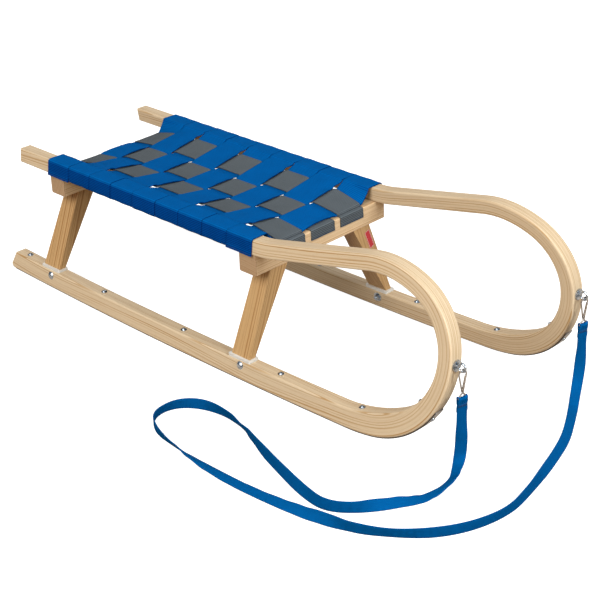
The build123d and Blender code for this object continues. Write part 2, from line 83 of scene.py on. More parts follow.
# Route between the hanging ends, as (distance ahead of the hooks, y, z)
strap_route = [
    (-0.002, -0.1585, 0.051), (-0.002, -0.162, 0.024), (0.008, -0.184, 0.010), (0.016, -0.220, 0.010),
    (0.008, -0.264, 0.010), (-0.018, -0.312, 0.010), (-0.044, -0.358, 0.010), (-0.087, -0.387, 0.010),
    (-0.139, -0.379, 0.010), (-0.203, -0.361, 0.010), (-0.267, -0.341, 0.010), (-0.331, -0.316, 0.010),
    (-0.391, -0.300, 0.010), (-0.451, -0.305, 0.010), (-0.489, -0.338, 0.010), (-0.489, -0.386, 0.010),
    (-0.454, -0.414, 0.010), (-0.395, -0.427, 0.010), (-0.327, -0.430, 0.010), (-0.259, -0.4285, 0.010),
    (-0.191, -0.425, 0.010), (-0.125, -0.419, 0.010), (-0.063, -0.412, 0.010), (-0.005, -0.396, 0.010),
    (0.047, -0.364, 0.010), (0.089, -0.322, 0.010), (0.118, -0.270, 0.010), (0.132, -0.208, 0.010),
    (0.123, -0.150, 0.010), (0.109, -0.092, 0.010), (0.093, -0.034, 0.010), (0.075, 0.018, 0.010),
    (0.049, 0.068, 0.010), (0.024, 0.112, 0.010), (0.008, 0.142, 0.024), (0.0015, 0.1575, 0.050),
]

# How the strap stands on the floor, as (share of its length, degrees from lying flat). At 90 it is
# on its edge, and below 0 it leans the other way.
strap_stand = [
    (0.055, -38), (0.072, -28), (0.088, -8), (0.103, 12), (0.118, 32), (0.154, 84), (0.204, 62),
    (0.254, 74), (0.291, 95), (0.307, 116), (0.327, 104), (0.361, 82), (0.395, 104), (0.421, 88),
    (0.462, 58), (0.480, 30), (0.500, 12), (0.523, 2), (0.555, -4), (0.577, -13), (0.597, -28),
    (0.620, -60), (0.642, -92), (0.672, -104), (0.709, -92), (0.760, -96), (0.797, -82),
    (0.842, -62), (0.904, -46), (0.950, -34),
]


def eased(value, low, high):
    """Runs smoothly from 0 at low to 1 at high."""
    share = min(max((value - low) / (high - low), 0.0), 1.0)
    return share * share * (3 - 2 * share)


def between(table, place):
    """Value at a place in a table of (place, value) pairs, smoothly between its rows."""
    if place <= table[0][0]:
        return table[0][1]
    for (low, first), (high, second) in zip(table, table[1:]):
        if place <= high:
            return first + (second - first) * eased(place, low, high)
    return table[-1][1]


def run_lengths(path):
    """Length along a path at each of its points."""
    lengths = [0.0]
    for before, after in zip(path, path[1:]):
        lengths.append(lengths[-1] + (after - before).length)
    return lengths


def webbing_outline(width, thickness, steps):
    """Cross-section of webbing, as (across, above): flat faces between rounded selvedges."""
    skin = thickness / 2
    flat = width / 2 - skin
    face = [(flat * (2 * step / steps - 1), skin) for step in range(steps + 1)]
    edge = [(flat + skin * sin(turn), skin * cos(turn)) for turn in (pi / 4, pi / 2, 3 * pi / 4)]
    return face + edge + [(-a, -h) for a, h in face + edge]


def smooth_mesh(mesh, crease):
    """Turns the faces outward and shades them smoothly, except over edges sharper than crease."""
    shell = bmesh.new()
    shell.from_mesh(mesh)
    bmesh.ops.recalc_face_normals(shell, faces=shell.faces)
    shell.to_mesh(mesh)
    shell.free()
    mesh.shade_smooth()
    mesh.set_sharp_from_angle(angle=radians(crease))
    return mesh


def closed_skin(name, rings):
    """Closed mesh over a row of like outlines."""
    count = len(rings[0])
    faces = []
    for start in range(0, (len(rings) - 1) * count, count):
        for step in range(count):
            after = (step + 1) % count
            faces.append((start + step, start + after, start + count + after, start + count + step))
    faces.append(tuple(range(count)))
    faces.append(tuple(range(len(rings) * count - count, len(rings) * count)))
    mesh = bpy.data.meshes.new(name)
    mesh.from_pydata([point for ring in rings for point in ring], [], faces)
    return mesh


def woven_strip(name, rings, along, across):
    """Strip of webbing. Its UV map is (length along, place across)."""
    mesh = closed_skin(name, rings)
    layer = mesh.uv_layers.new(name="webbing")
    for loop in mesh.loops:
        ring, step = divmod(loop.vertex_index, len(across))
        layer.data[loop.index].uv = (along[ring], across[step])
    return smooth_mesh(mesh, 60)


def placed(name, mesh, material):
    """A new piece that rides on the sled, with the given finish."""
    piece = bpy.data.objects.new(name, mesh)
    bpy.context.scene.collection.objects.link(piece)
    mesh.materials.append(material)
    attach(piece, "root")
    return piece


def read_spline(points):
    """Points along the smooth spline that a route controls."""
    curve = bpy.data.curves.new("strap_line", "CURVE")
    curve.dimensions = "3D"
    spline = curve.splines.new("NURBS")
    spline.points.add(len(points) - 1)
    for control, point in zip(spline.points, points):
        control.co = (*point, 1.0)
    spline.order_u = 3
    spline.use_endpoint_u = True
    spline.resolution_u = 12
    line = bpy.data.objects.new("strap_line", curve)
    mesh = bpy.data.meshes.new_from_object(line)
    found = [vertex.co.copy() for vertex in mesh.vertices]
    bpy.data.objects.remove(line)
    bpy.data.curves.remove(curve)
    bpy.data.meshes.remove(mesh)
    return found


class Sketch:
    """Short way to add shader nodes to a tree and to join them."""

    def __init__(self, tree):
        self.tree = tree

    def add(self, kind, **settings):
        node = self.tree.nodes.new("ShaderNode" + kind)
        for name, value in settings.items():
            setattr(node, name, value)
        return node

    def feed(self, socket, value):
        if isinstance(value, bpy.types.NodeSocket):
            self.tree.links.new(value, socket)
        else:
            socket.default_value = value

    def calc(self, operation, *values):
        node = self.add("Math", operation=operation)
        for socket, value in zip(node.inputs, values):
            self.feed(socket, value)
        return node.outputs[0]

    def plus(self, first, second):
        return self.calc("ADD", first, second)

    def minus(self, first, second):
        return self.calc("SUBTRACT", first, second)

    def times(self, first, second):
        return self.calc("MULTIPLY", first, second)

    def times_plus(self, value, factor, added):
        return self.calc("MULTIPLY_ADD", value, factor, added)

    def size_of(self, value):
        return self.calc("ABSOLUTE", value)

    def mix(self, share, first, second):
        node = self.add("Mix", data_type="RGBA")
        self.feed(node.inputs[0], share)
        self.feed(node.inputs[6], first)
        self.feed(node.inputs[7], second)
        return node.outputs[2]

    def spread(self, value, low, high, first=0.0, second=1.0):
        node = self.add("MapRange", interpolation_type="SMOOTHSTEP")
        for socket, given in zip(node.inputs, (value, low, high, first, second)):
            self.feed(socket, given)
        return node.outputs[0]

    def noise(self, vector, scale, detail=2.0, roughness=0.5):
        node = self.add("TexNoise")
        self.feed(node.inputs["Vector"], vector)
        node.inputs["Scale"].default_value = scale
        node.inputs["Detail"].default_value = detail
        node.inputs["Roughness"].default_value = roughness
        return node.outputs["Fac"]

    def vector(self, x, y, z):
        node = self.add("CombineXYZ")
        for socket, value in zip(node.inputs, (x, y, z)):
            self.feed(socket, value)
        return node.outputs[0]

    def split(self, vector):
        node = self.add("SeparateXYZ")
        self.feed(node.inputs[0], vector)
        return node.outputs

    def place(self):
        return self.add("TexCoord").outputs["Object"]


def new_group(name, inputs, outputs):
    """Empty shader group. Each input is (name, kind, value) and each output (name, kind)."""
    group = bpy.data.node_groups.new(name, "ShaderNodeTree")
    for label, kind, value in inputs:
        socket = group.interface.new_socket(label, in_out="INPUT", socket_type="NodeSocket" + kind)
        if value is not None:
            socket.default_value = value
    for label, kind in outputs:
        group.interface.new_socket(label, in_out="OUTPUT", socket_type="NodeSocket" + kind)
    sketch = Sketch(group)
    start = group.nodes.new("NodeGroupInput").outputs
    end = group.nodes.new("NodeGroupOutput").inputs
    return group, sketch, start, end


def new_finish(name):
    """New material with its sketch and its Principled shader."""
    material = bpy.data.materials.new(name)
    material.use_nodes = True
    shader = material.node_tree.nodes["Principled BSDF"]
    return material, Sketch(material.node_tree), shader


def grouped(sketch, group, **values):
    """A group placed in a tree, with its own values."""
    node = sketch.add("Group", node_tree=group)
    for name, value in values.items():
        sketch.feed(node.inputs[name.replace("_", " ")], value)
    return node.outputs


def dressed(sketch, shader, colour, roughness, height, depth, strength=1.0):
    """Gives a shader its colour, its roughness and a relief, whose height is in shares of depth."""
    sketch.feed(shader.inputs["Base Color"], colour)
    sketch.feed(shader.inputs["Roughness"], roughness)
    bump = sketch.add("Bump")
    bump.inputs["Distance"].default_value = depth
    bump.inputs["Strength"].default_value = strength
    sketch.feed(bump.inputs["Height"], height)
    sketch.feed(shader.inputs["Normal"], bump.outputs[0])


# Woven webbing: weft ribs across the strip, warp yarns along it, and a dye that varies a little
# Painted shade darkens the rib grooves and the edges, and painted light lifts the yarn crowns
weave, tree, given, made = new_group(
    "webbing_weave",
    [
        ("Along", "Float", 0.0),
        ("Across", "Float", 0.0),
        ("Dye", "Color", (0.2, 0.2, 0.2, 1)),
        ("Rib", "Float", 0.0017),
        ("Yarn", "Float", 0.0012),
        ("Half Width", "Float", 0.03),
        ("Rib Depth", "Float", 0.4),
        ("Edge Shade", "Float", 0.14),
    ],
    [("Color", "Color"), ("Roughness", "Float"), ("Height", "Float")],
)
edge_shade_band = 0.0016
yarn_place = tree.calc("DIVIDE", given["Across"], given["Yarn"])
yarn_round = tree.size_of(tree.calc("SINE", tree.times(yarn_place, pi)))
odd_yarn = tree.calc("FLOORED_MODULO", tree.calc("FLOOR", yarn_place), 2.0)
rib_place = tree.calc("DIVIDE", given["Along"], given["Rib"])
rib_shift = tree.plus(rib_place, tree.times(odd_yarn, 0.5))
rib_wave = tree.calc("SINE", tree.times(rib_shift, 2 * pi))
rib_round = tree.times_plus(rib_wave, 0.5, 0.5)
plain_rib = tree.calc("SINE", tree.times(rib_place, 2 * pi))
thread = tree.times(rib_round, yarn_round)
cloth_place = tree.vector(given["Along"], given["Across"], 0.0)
fuzz = tree.noise(cloth_place, 2600.0, 3.0)
cloudy = tree.noise(cloth_place, 38.0, 3.0, 0.6)
streak_place = tree.vector(tree.times(given["Along"], 12.0), tree.times(given["Across"], 900.0), 0.0)
streak = tree.noise(streak_place, 1.0, 2.0)
height = tree.times_plus(plain_rib, 0.30, tree.times(thread, 0.6))
height = tree.times_plus(fuzz, 0.35, height)
# painted light and shade: yarn crowns lighter and the hollows between them darker, times the dye's own cloudy
# and streaky variation
light = tree.times_plus(thread, 0.16, 0.82)
light = tree.times(light, tree.times_plus(cloudy, 0.34, 0.84))
light = tree.times(light, tree.times_plus(streak, 0.24, 0.88))
# painted shade: the grooves between the ribs are darkened in colour
groove = tree.spread(plain_rib, 0.1, -0.75)
light = tree.times(tree.times(light, 1.10), tree.minus(1.0, tree.times(groove, given["Rib Depth"])))
# painted shade: a narrow band along each edge is darkened, standing in for the shadow at the webbing's edges
# and in the gaps between belts
rim = tree.spread(tree.size_of(given["Across"]), tree.minus(given["Half Width"], edge_shade_band),
                  given["Half Width"])
light = tree.times(light, tree.minus(1.0, tree.times(rim, given["Edge Shade"])))
# dark end of the colour, for the dye's own variation and for the painted shade
deep_dye_and_shade = tree.mix(0.78, given["Dye"], (0.0, 0.0, 0.0, 1))
shade = tree.mix(tree.spread(light, 0.20, 0.95), deep_dye_and_shade, given["Dye"])
tree.feed(made["Color"], shade)
tree.feed(made["Roughness"], tree.times_plus(cloudy, 0.16, 0.66))
tree.feed(made["Height"], height)


def webbing_finish(name, dye, half_width, rib, yarn, rib_shade, edge_shade, upright_shade=0.0):
    """Webbing of one dye, from the piece's own UV map. Where it stands upright its rib grooves get more
    painted shade, and upright_shade mixes it towards a deep blue as painted shade."""
    material, tree, shader = new_finish(name)
    place = tree.split(tree.add("UVMap", uv_map="webbing").outputs[0])
    facing = tree.size_of(tree.split(tree.add("NewGeometry").outputs["True Normal"])[2])
    upright, level = 0.15, 0.70
    # painted shade: the rib grooves are darkened more on upright faces
    upright_rib_shade = tree.spread(facing, upright, level, rib_shade + 0.25, rib_shade)
    cloth = grouped(tree, weave, Along=place[0], Across=place[1], Dye=(*dye, 1), Rib=rib, Yarn=yarn,
                    Half_Width=half_width, Rib_Depth=upright_rib_shade, Edge_Shade=edge_shade)
    colour = cloth["Color"]
    # painted shade: upright faces are mixed towards a deep blue
    if upright_shade:
        hanging = tree.spread(facing, upright, level, upright_shade, 0.0)
        colour = tree.mix(hanging, colour, (0.0, 0.001, 0.150, 1))
    shader.inputs["Specular IOR Level"].default_value = 0.01
    dressed(tree, shader, colour, cloth["Roughness"], cloth["Height"], depth=0.00045)
    return material


strap_finish = webbing_finish("strap_webbing", strap_blue, strap_width / 2, rib=0.0017, yarn=0.0012,
                              rib_shade=0.40, edge_shade=0.14)


def loop_end(side):
    """Lowest point of a sewn loop, where the single strap leaves it."""
    low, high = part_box(f"strap_loop_{side}")
    return Vector(((low.x + high.x) / 2, (low.y + high.y) / 2, low.z))


right_end = loop_end("right")
left_end = loop_end("left")
straight_down = Vector((0, 0, strap_hang))
strap_points = [right_end, right_end - straight_down]
strap_points += [Vector((right_end.x + ahead, y, z)) for ahead, y, z in strap_route]
strap_points += [left_end - straight_down, left_end]
strap_line = read_spline(strap_points)
strap_place = run_lengths(strap_line)
strap_length = strap_place[-1]

hook_across = Vector((-sin(hook_turn), -cos(hook_turn), 0))
strap_outline = webbing_outline(strap_width, strap_thickness, 6)
strap_rings = []
for step, point in enumerate(strap_line):
    ahead = strap_line[min(step + 1, len(strap_line) - 1)]
    behind = strap_line[max(step - 1, 0)]
    along = (ahead - behind).normalized()
    share = strap_place[step] / strap_length
    going_out = share < 0.5
    hanging = 1 - eased(share, *settling) if going_out else eased(share, *lifting)
    stand = radians(between(strap_stand, share))
    flat = along.cross(Vector((0, 0, 1)))
    if flat.length > 0.05:
        flat.normalize()
        upper = flat * cos(stand) + flat.cross(along) * sin(stand)
    else:
        upper = hook_across
    # it goes out from one hook and comes back to the other, so its edges change places
    twist = hook_turn + hang_twist * eased(min(share, 1 - share), *twisting)
    across_hook = Vector((-sin(twist), -cos(twist), 0)) * (1 if going_out else -1)
    upper = upper * (1 - hanging) + across_hook * hanging
    upper = (upper - along * upper.dot(along)).normalized()
    face = along.cross(upper)
    reach = abs(upper.z) * strap_width / 2 + abs(face.z) * strap_thickness / 2
    drop = max(point.z - reach - floor_gap, 0.0) * (1 - eased(point.z, *lying))
    centre = point - Vector((0, 0, drop))
    strap_rings.append([centre + upper * a + face * h for a, h in strap_outline])

strap_mesh = woven_strip("pull_strap_webbing", strap_rings, strap_place, [a for a, h in strap_outline])
strap = placed("pull_strap_webbing", strap_mesh, strap_finish)
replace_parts(strap, "pull_strap")


# ---- Bentwood sides ----
# Each side is one ash stave of 28 mm, steamed and bent round a form from the seat rail over the
# horn into the runner, so its grain follows the bend. It is sanded, rounded and varnished.

ash_pale = (0.68, 0.535, 0.355, 1)
ash_deep = (0.42, 0.235, 0.085, 1)
end_brown = (0.16, 0.062, 0.024, 1)


def drawn_out(tree, parts, along_scale, across_scale, detail, roughness=0.5):
    """Noise drawn out along the first of a place's three parts."""
    scales = (along_scale, across_scale, across_scale)
    place = tree.vector(*[tree.times(part, scale) for part, scale in zip(parts, scales)])
    return tree.noise(place, 1.0, detail, roughness)


# Sawn or bent wood, from a place given as (along the grain, across it, across it)
grain, tree, given, made = new_group(
    "wood_grain",
    [
        ("Grain Place", "Vector", None),
        ("Pale", "Color", ash_pale),
        ("Deep", "Color", ash_deep),
        ("Ring Width", "Float", 0.0045),
        ("Heart Distance", "Float", 0.06),
        ("Waviness", "Float", 0.0035),
        ("Line Strength", "Float", 0.72),
    ],
    [("Color", "Color"), ("Roughness", "Float"), ("Height", "Float")],
)
parts = tree.split(given["Grain Place"])
along, first, second = parts
wander = drawn_out(tree, parts, 3.0, 22.0, 3.0, 0.55)
slow = tree.noise(tree.vector(tree.times(along, 1.1), first, second), 1.6, 1.0)
# year rings round the heart of the tree, with a dark late edge to each
heart = tree.plus(first, given["Heart Distance"])
radius = tree.calc("SQRT", tree.plus(tree.times(heart, heart), tree.times(second, second)))
swing = tree.times(tree.minus(wander, 0.5), given["Waviness"])
drift = tree.times(tree.minus(slow, 0.5), tree.times(given["Waviness"], 7.0))
radius = tree.plus(radius, tree.plus(swing, drift))
year = tree.calc("DIVIDE", radius, given["Ring Width"])
uneven = tree.noise(tree.vector(year, 0.0, 0.0), 0.55, 0.0)
year = tree.times_plus(uneven, 1.6, year)
part = tree.calc("FRACT", year)
late = tree.times(tree.spread(part, 0.50, 0.86), tree.spread(part, 1.0, 0.94))
weight = tree.noise(tree.vector(tree.calc("FLOOR", year), tree.times(along, 1.3), 0.0), 1.7, 1.0)
late = tree.times(late, tree.spread(weight, 0.34, 0.66, 0.30, 1.0))
# streaks, fibres, pores and blotches
streak = drawn_out(tree, parts, 5.0, 420.0, 2.0, 0.6)
fibre = drawn_out(tree, parts, 26.0, 1300.0, 3.0, 0.6)
pore = tree.spread(drawn_out(tree, parts, 90.0, 2600.0, 1.0), 0.62, 0.74)
early = tree.minus(1.0, late)
pore = tree.times(pore, tree.times_plus(early, 0.6, 0.3))
blotch = drawn_out(tree, parts, 5.0, 45.0, 2.0)
tone = tree.times(late, given["Line Strength"])
for mark, amount, offset in ((fibre, 0.34, -0.12), (streak, 0.70, -0.30), (blotch, 0.30, -0.12)):
    tone = tree.plus(tone, tree.times_plus(mark, amount, offset))
colour = tree.mix(tree.spread(tone, 0.0, 1.0), given["Pale"], given["Deep"])
colour = tree.mix(tree.times(pore, 0.35), colour, tree.mix(0.45, given["Deep"], (0, 0, 0, 1)))
tree.feed(made["Color"], colour)
tree.feed(made["Roughness"], tree.times_plus(fibre, 0.16, 0.36))
relief = tree.minus(tree.times(fibre, 0.5), tree.times(pore, 0.6))
tree.feed(made["Height"], tree.times_plus(late, 0.12, relief))

# Each side leans inward and its rail lies on the yokes
lean = radians(7.8)
floor_half_track = 0.1875
side_half = 0.014
rail_depth = 0.028
stave_half = rail_depth / 2
front_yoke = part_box("yoke_front")
yoke_top = front_yoke[1].z
rail_top = yoke_top + rail_depth * cos(lean)

# The bend, in the leaning plane of a side: x and the height measured up the slant
loop_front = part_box("bentwood_left")[1].x
sole_low = loop_front - 0.662
iron_gap = 0.0022
slant_top = rail_top / cos(lean)
horn_angle = radians(12)
peak_radius = 0.190
peak_x = loop_front - 0.153
knee_radius = 0.200
knee_x = loop_front - 0.427
brow_radius = 0.125
peak_foot = peak_x - peak_radius * sin(horn_angle)
peak_slant = slant_top + (peak_foot - knee_x) * tan(horn_angle) - peak_radius * cos(horn_angle)
brow_x = loop_front - brow_radius
brow_slant = peak_slant + sqrt((peak_radius - brow_radius) ** 2 - (brow_x - peak_x) ** 2)
chin_radius = brow_slant - 0.0122
chin_x = loop_front - chin_radius
knee_foot = knee_x - knee_radius * tan(horn_angle / 2)
sweep_radius = 0.375
sole_radius = 15.0
sole_slant = iron_gap + sole_radius
span = Vector((sole_low - chin_x, sole_slant - brow_slant))
reach_chin = sweep_radius - chin_radius
reach_sole = sole_radius - sweep_radius
length_along = (reach_chin**2 - reach_sole**2 + span.length_squared) / (2 * span.length)
aside = sqrt(reach_chin**2 - length_along**2)
unit = span.normalized()
sweep_x = chin_x + unit.x * length_along - unit.y * aside
sweep_slant = brow_slant + unit.y * length_along + unit.x * aside

# Tangent of the angle at which the stave was sawn off the growth rings, and how far apart the two
# sides' staves lay in the tree
ring_tilt = 0.45
stave_apart = 3.7


def bend_place(tree):
    """Place in a bent side, as (along the bend, depth below its outer face, across its width)."""
    x, y, z = tree.split(tree.place())
    slant = tree.times(z, 1 / cos(lean))
    across = tree.minus(tree.times_plus(z, tan(lean), tree.size_of(y)), floor_half_track)

    def arc(centre_x, centre_slant, radius, start_angle, start, turn):
        """Depth and length along for an arc that the side bends round."""
        right = tree.minus(x, centre_x)
        up = tree.minus(slant, centre_slant)
        away = tree.calc("SQRT", tree.plus(tree.times(right, right), tree.times(up, up)))
        passed = tree.minus(tree.calc("ARCTAN2", up, right), start_angle)
        depth = tree.times_plus(away, -turn, turn * radius)
        return depth, tree.times_plus(passed, -turn * (radius - turn * stave_half), start)

    def choose(test, first, second):
        """The first depth and length along where the test holds, and elsewhere the second."""
        other = tree.minus(1.0, test)
        return [tree.plus(tree.times(test, a), tree.times(other, b)) for a, b in zip(first, second)]

    # rail, knee, horn, peak and brow, in order from the rear end
    rail = tree.minus(slant_top, slant), tree.minus(x, knee_foot)
    knee = arc(knee_foot, slant_top + knee_radius, knee_radius, -pi / 2, 0.0, -1)
    horn_start = (knee_radius + stave_half) * horn_angle
    horn_point = Vector((knee_foot + knee_radius * sin(horn_angle),
                         slant_top + knee_radius * (1 - cos(horn_angle))))
    right = tree.minus(x, horn_point.x)
    up = tree.minus(slant, horn_point.y)
    horn_depth = tree.minus(tree.times(right, sin(horn_angle)), tree.times(up, cos(horn_angle)))
    horn_along = tree.plus(tree.times(right, cos(horn_angle)), tree.times(up, sin(horn_angle)))
    horn = horn_depth, tree.plus(horn_along, horn_start)
    horn_end = Vector((peak_foot, peak_slant + peak_radius * cos(horn_angle)))
    peak_start = horn_start + (horn_end - horn_point).length
    peak = arc(peak_x, peak_slant, peak_radius, pi / 2 + horn_angle, peak_start, 1)
    brow_turn = atan2(brow_slant - peak_slant, brow_x - peak_x)
    brow_start = peak_start + (pi / 2 + horn_angle - brow_turn) * (peak_radius - stave_half)
    brow = arc(brow_x, brow_slant, brow_radius, brow_turn, brow_start, 1)
    brow_end_x = peak_x + peak_radius * cos(brow_turn)
    # chin, sweep and sole, in order from the foremost point down and back
    chin_start = brow_start + brow_turn * (brow_radius - stave_half)
    chin = arc(chin_x, brow_slant, chin_radius, 0.0, chin_start, 1)
    chin_turn = atan2(brow_slant - sweep_slant, chin_x - sweep_x)
    sweep_start = chin_start - chin_turn * (chin_radius - stave_half)
    sweep = arc(sweep_x, sweep_slant, sweep_radius, chin_turn, sweep_start, 1)
    sole_turn = atan2(sweep_slant - sole_slant, sweep_x - sole_low)
    sole_start = sweep_start + (chin_turn - sole_turn) * (sweep_radius - stave_half)
    back = tree.minus(x, sole_low)
    rise = tree.times(tree.times(back, back), 0.5 / sole_radius)
    sole_end_x = sweep_x + sweep_radius * cos(sole_turn)
    sole = tree.minus(tree.minus(slant, iron_gap), rise), tree.minus(sole_start + sole_end_x, x)
    # which of them a place belongs to
    chin_line = tree.minus(tree.times(tree.minus(x, chin_x), sin(chin_turn)),
                           tree.times(tree.minus(slant, brow_slant), cos(chin_turn)))
    lower = choose(tree.calc("LESS_THAN", chin_line, 0.0), chin, sweep)
    lower = choose(tree.calc("GREATER_THAN", x, sole_end_x), lower, sole)
    upper = brow
    for border, behind in ((brow_end_x, peak), (peak_foot, horn), (horn_point.x, knee),
                           (knee_foot, rail)):
        upper = choose(tree.calc("GREATER_THAN", x, border), upper, behind)
    depth, along = choose(tree.calc("GREATER_THAN", slant, brow_slant), upper, lower)
    stave = tree.times_plus(tree.calc("SIGN", y), stave_apart, along)
    first = tree.times_plus(depth, ring_tilt, across)
    second = tree.times_plus(across, -ring_tilt, depth)
    return tree.vector(stave, first, second)


def varnished(name, grain_place, end_grain, **values):
    """Clear satin varnish over wood. It soaks in and darkens where end_grain is 1."""
    material, tree, shader = new_finish(name)
    wood = grouped(tree, grain, Grain_Place=grain_place(tree), **values)
    colour = wood["Color"]
    if end_grain:
        colour = tree.mix(tree.times(end_grain(tree), 0.48), colour, end_brown)
    shader.inputs["Specular IOR Level"].default_value = 0.30
    shader.inputs["Coat Weight"].default_value = 0.06
    shader.inputs["Coat Roughness"].default_value = 0.30
    dressed(tree, shader, colour, wood["Roughness"], wood["Height"], depth=0.00012, strength=0.7)
    return material


def finish_nodes(material, *names):
    """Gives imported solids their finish."""
    for name in names:
        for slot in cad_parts[name].material_slots:
            slot.material = material


def bend_ends(tree):
    """The sawn ends of a bent side, which face the rear."""
    facing = tree.split(tree.add("NewGeometry").outputs["Normal"])[0]
    ahead = tree.split(tree.place())[0]
    return tree.times(tree.spread(facing, -0.82, -0.94), tree.calc("LESS_THAN", ahead, -0.5))


ash_finish = varnished("bent_ash", bend_place, bend_ends, Pale=ash_pale, Deep=ash_deep, Ring_Width=0.0034,
                       Heart_Distance=0.09, Waviness=0.0032, Line_Strength=0.72)
finish_nodes(ash_finish, "bentwood_left", "bentwood_right")


# ---- Runner irons ----
# Flat mild steel strip, 20 by 2 mm, bent to the sole and bolted up through the runner. Snow keeps
# its underside bright, and its cut edges are coloured near black and less metallic.

steel_tone = (0.36, 0.33, 0.30, 1)
steel_bright = (0.62, 0.59, 0.55, 1)
edge_black = (0.045, 0.034, 0.027, 1)
iron_edge = (0.0088, 0.0096)

# Metal with fine scratches along one direction and a mottle of handling
metal, tree, given, made = new_group(
    "worked_metal",
    [
        ("Place", "Vector", None),
        ("Tone", "Color", steel_tone),
        ("Bright", "Color", steel_bright),
        ("Scratch Scale", "Float", 900.0),
        ("Smoothness", "Float", 0.3),
    ],
    [("Color", "Color"), ("Roughness", "Float"), ("Height", "Float")],
)
scratch = drawn_out(tree, tree.split(given["Place"]), 14.0, given["Scratch Scale"], 3.0, 0.6)
mottle = tree.noise(given["Place"], 140.0, 3.0, 0.6)
share = tree.plus(tree.times(scratch, 0.6), tree.times(mottle, 0.6))
tree.feed(made["Color"], tree.mix(tree.spread(share, 0.35, 0.85), given["Tone"], given["Bright"]))
tree.feed(made["Roughness"], tree.times_plus(mottle, 0.28, given["Smoothness"]))
tree.feed(made["Height"], tree.times_plus(mottle, 0.5, scratch))


def metal_finish(name, tone, bright, scratch_scale, smoothness, depth):
    """Bare or plated metal."""
    material, tree, shader = new_finish(name)
    look = grouped(tree, metal, Place=tree.place(), Tone=tone, Bright=bright,
                   Scratch_Scale=scratch_scale, Smoothness=smoothness)
    shader.inputs["Metallic"].default_value = 1.0
    dressed(tree, shader, look["Color"], look["Roughness"], look["Height"], depth, strength=0.5)
    return material


iron_finish = metal_finish("runner_steel", steel_tone, steel_bright, scratch_scale=900.0,
                           smoothness=0.30, depth=0.00005)

# the strip's cut edges are coloured near black and made less metallic
tree = Sketch(iron_finish.node_tree)
shader = iron_finish.node_tree.nodes["Principled BSDF"]
x, y, z = tree.split(tree.place())
from_middle = tree.minus(tree.times_plus(z, tan(lean), tree.size_of(y)), floor_half_track)
dark_edge_mask = tree.spread(tree.size_of(from_middle), *iron_edge)
bare = shader.inputs["Base Color"].links[0].from_socket
tree.feed(shader.inputs["Base Color"], tree.mix(dark_edge_mask, bare, edge_black))
tree.feed(shader.inputs["Metallic"], tree.times_plus(dark_edge_mask, -0.75, 1.0))
finish_nodes(iron_finish, "runner_iron_left", "runner_iron_right")


# ---- Runner bolts ----
# Small zinc-plated bolts that hold the irons on. Each comes up through the iron and the runner and
# ends in a flanged nut on the runner's upper face or on the inside of the front loop.

zinc_tone = (0.26, 0.30, 0.34, 1)
zinc_bright = (0.74, 0.77, 0.80, 1)
nut_flats = 0.0070
nut_height = 0.0024
flange_radius = 0.0058
end_radius = 0.0022
runner_depth = 0.036

# Profiles as (radius, height), or (flats, height, 6) where the nut is hexagonal
flanged_nut = [
    (flange_radius, 0.0),
    (flange_radius, 0.0005),
    (flange_radius * 0.86, 0.0008),
    (nut_flats * 0.98, 0.0009, 6),
    (nut_flats, 0.0011, 6),
    (nut_flats, nut_height - 0.0004, 6),
    (nut_flats * 0.46, nut_height),
    (nut_flats * 0.44, nut_height),
    (end_radius * 1.15, nut_height),
    (end_radius, nut_height - 0.0003),
    (end_radius, nut_height + 0.0010),
    (end_radius * 0.75, nut_height + 0.0014),
]
domed_head = [(0.0052, 0.0), (0.0050, 0.0007), (0.0041, 0.0016), (0.0026, 0.0022), (0.0010, 0.0024)]

# Four nuts stand on the long curve of the sole. The others are (x, height, way up): the fifth where
# the runner starts to sweep up and thin, and the sixth inside the front loop, at the iron's tip,
# with a bolt head a little lower on the outside.
sole_nuts = (-0.536, -0.296, -0.063, 0.1916)
sweep_nut = (0.3816, 0.0491, (-0.158, 0, 1))
loop_nut = (0.5008, 0.1055, (-0.743, 0, 0.669))
tip_head = (0.5283, 0.0837, (0.814, 0, -0.581))


def turned(name, rows, steps=36):
    """Closed mesh turned round its axis from a profile."""
    rings = []
    for size, height, *hexagonal in rows:
        ring = []
        for step in range(steps):
            turn = 2 * pi * step / steps
            radius = size
            if hexagonal:  # with its corners cut a little
                sector = (turn + pi / 6) % (pi / 3) - pi / 6
                radius = min(size / 2 / cos(sector), size / 2 * 1.11)
            ring.append((radius * cos(turn), radius * sin(turn), height))
        rings.append(ring)
    return smooth_mesh(closed_skin(name, rings), 28)


def stood(mesh, point, up):
    """Turns a mesh so that its axis points up the given way from a point."""
    turn = Vector((0, 0, 1)).rotation_difference(Vector(up))
    for vertex in mesh.vertices:
        vertex.co = turn @ vertex.co + Vector(point)
    return mesh


def on_sole(x):
    """A nut's stand on the runner's upper face, which follows the curve of the sole."""
    inner = sole_radius - runner_depth
    height = (sole_slant - sqrt(inner**2 - (x - sole_low) ** 2)) * cos(lean)
    return x, height, (-(x - sole_low) / inner, 0, 1)


def on_side(name, rows, sign, x, height, up):
    """A nut or a head on the middle line of the left side (1) or of the right one (-1)."""
    y = sign * (floor_half_track - height * tan(lean))
    placed(name, stood(turned(name, rows), (x, y, height), up), zinc_finish)


zinc_finish = metal_finish("zinc_plate", zinc_tone, zinc_bright, scratch_scale=500.0, smoothness=0.10,
                           depth=0.00003)
for side, sign in (("left", 1), ("right", -1)):
    for number, stand in enumerate([on_sole(x) for x in sole_nuts] + [sweep_nut, loop_nut], 1):
        on_side(f"runner_nut_{side}_{number}", flanged_nut, sign, *stand)
    on_side(f"tip_bolt_{side}", domed_head, sign, *tip_head)


# ---- Collars ----
# Off-white moulded plastic plates, let into the runners under the legs' feet. They keep wet out of
# the mortises, and the mould left them a fine matt texture.

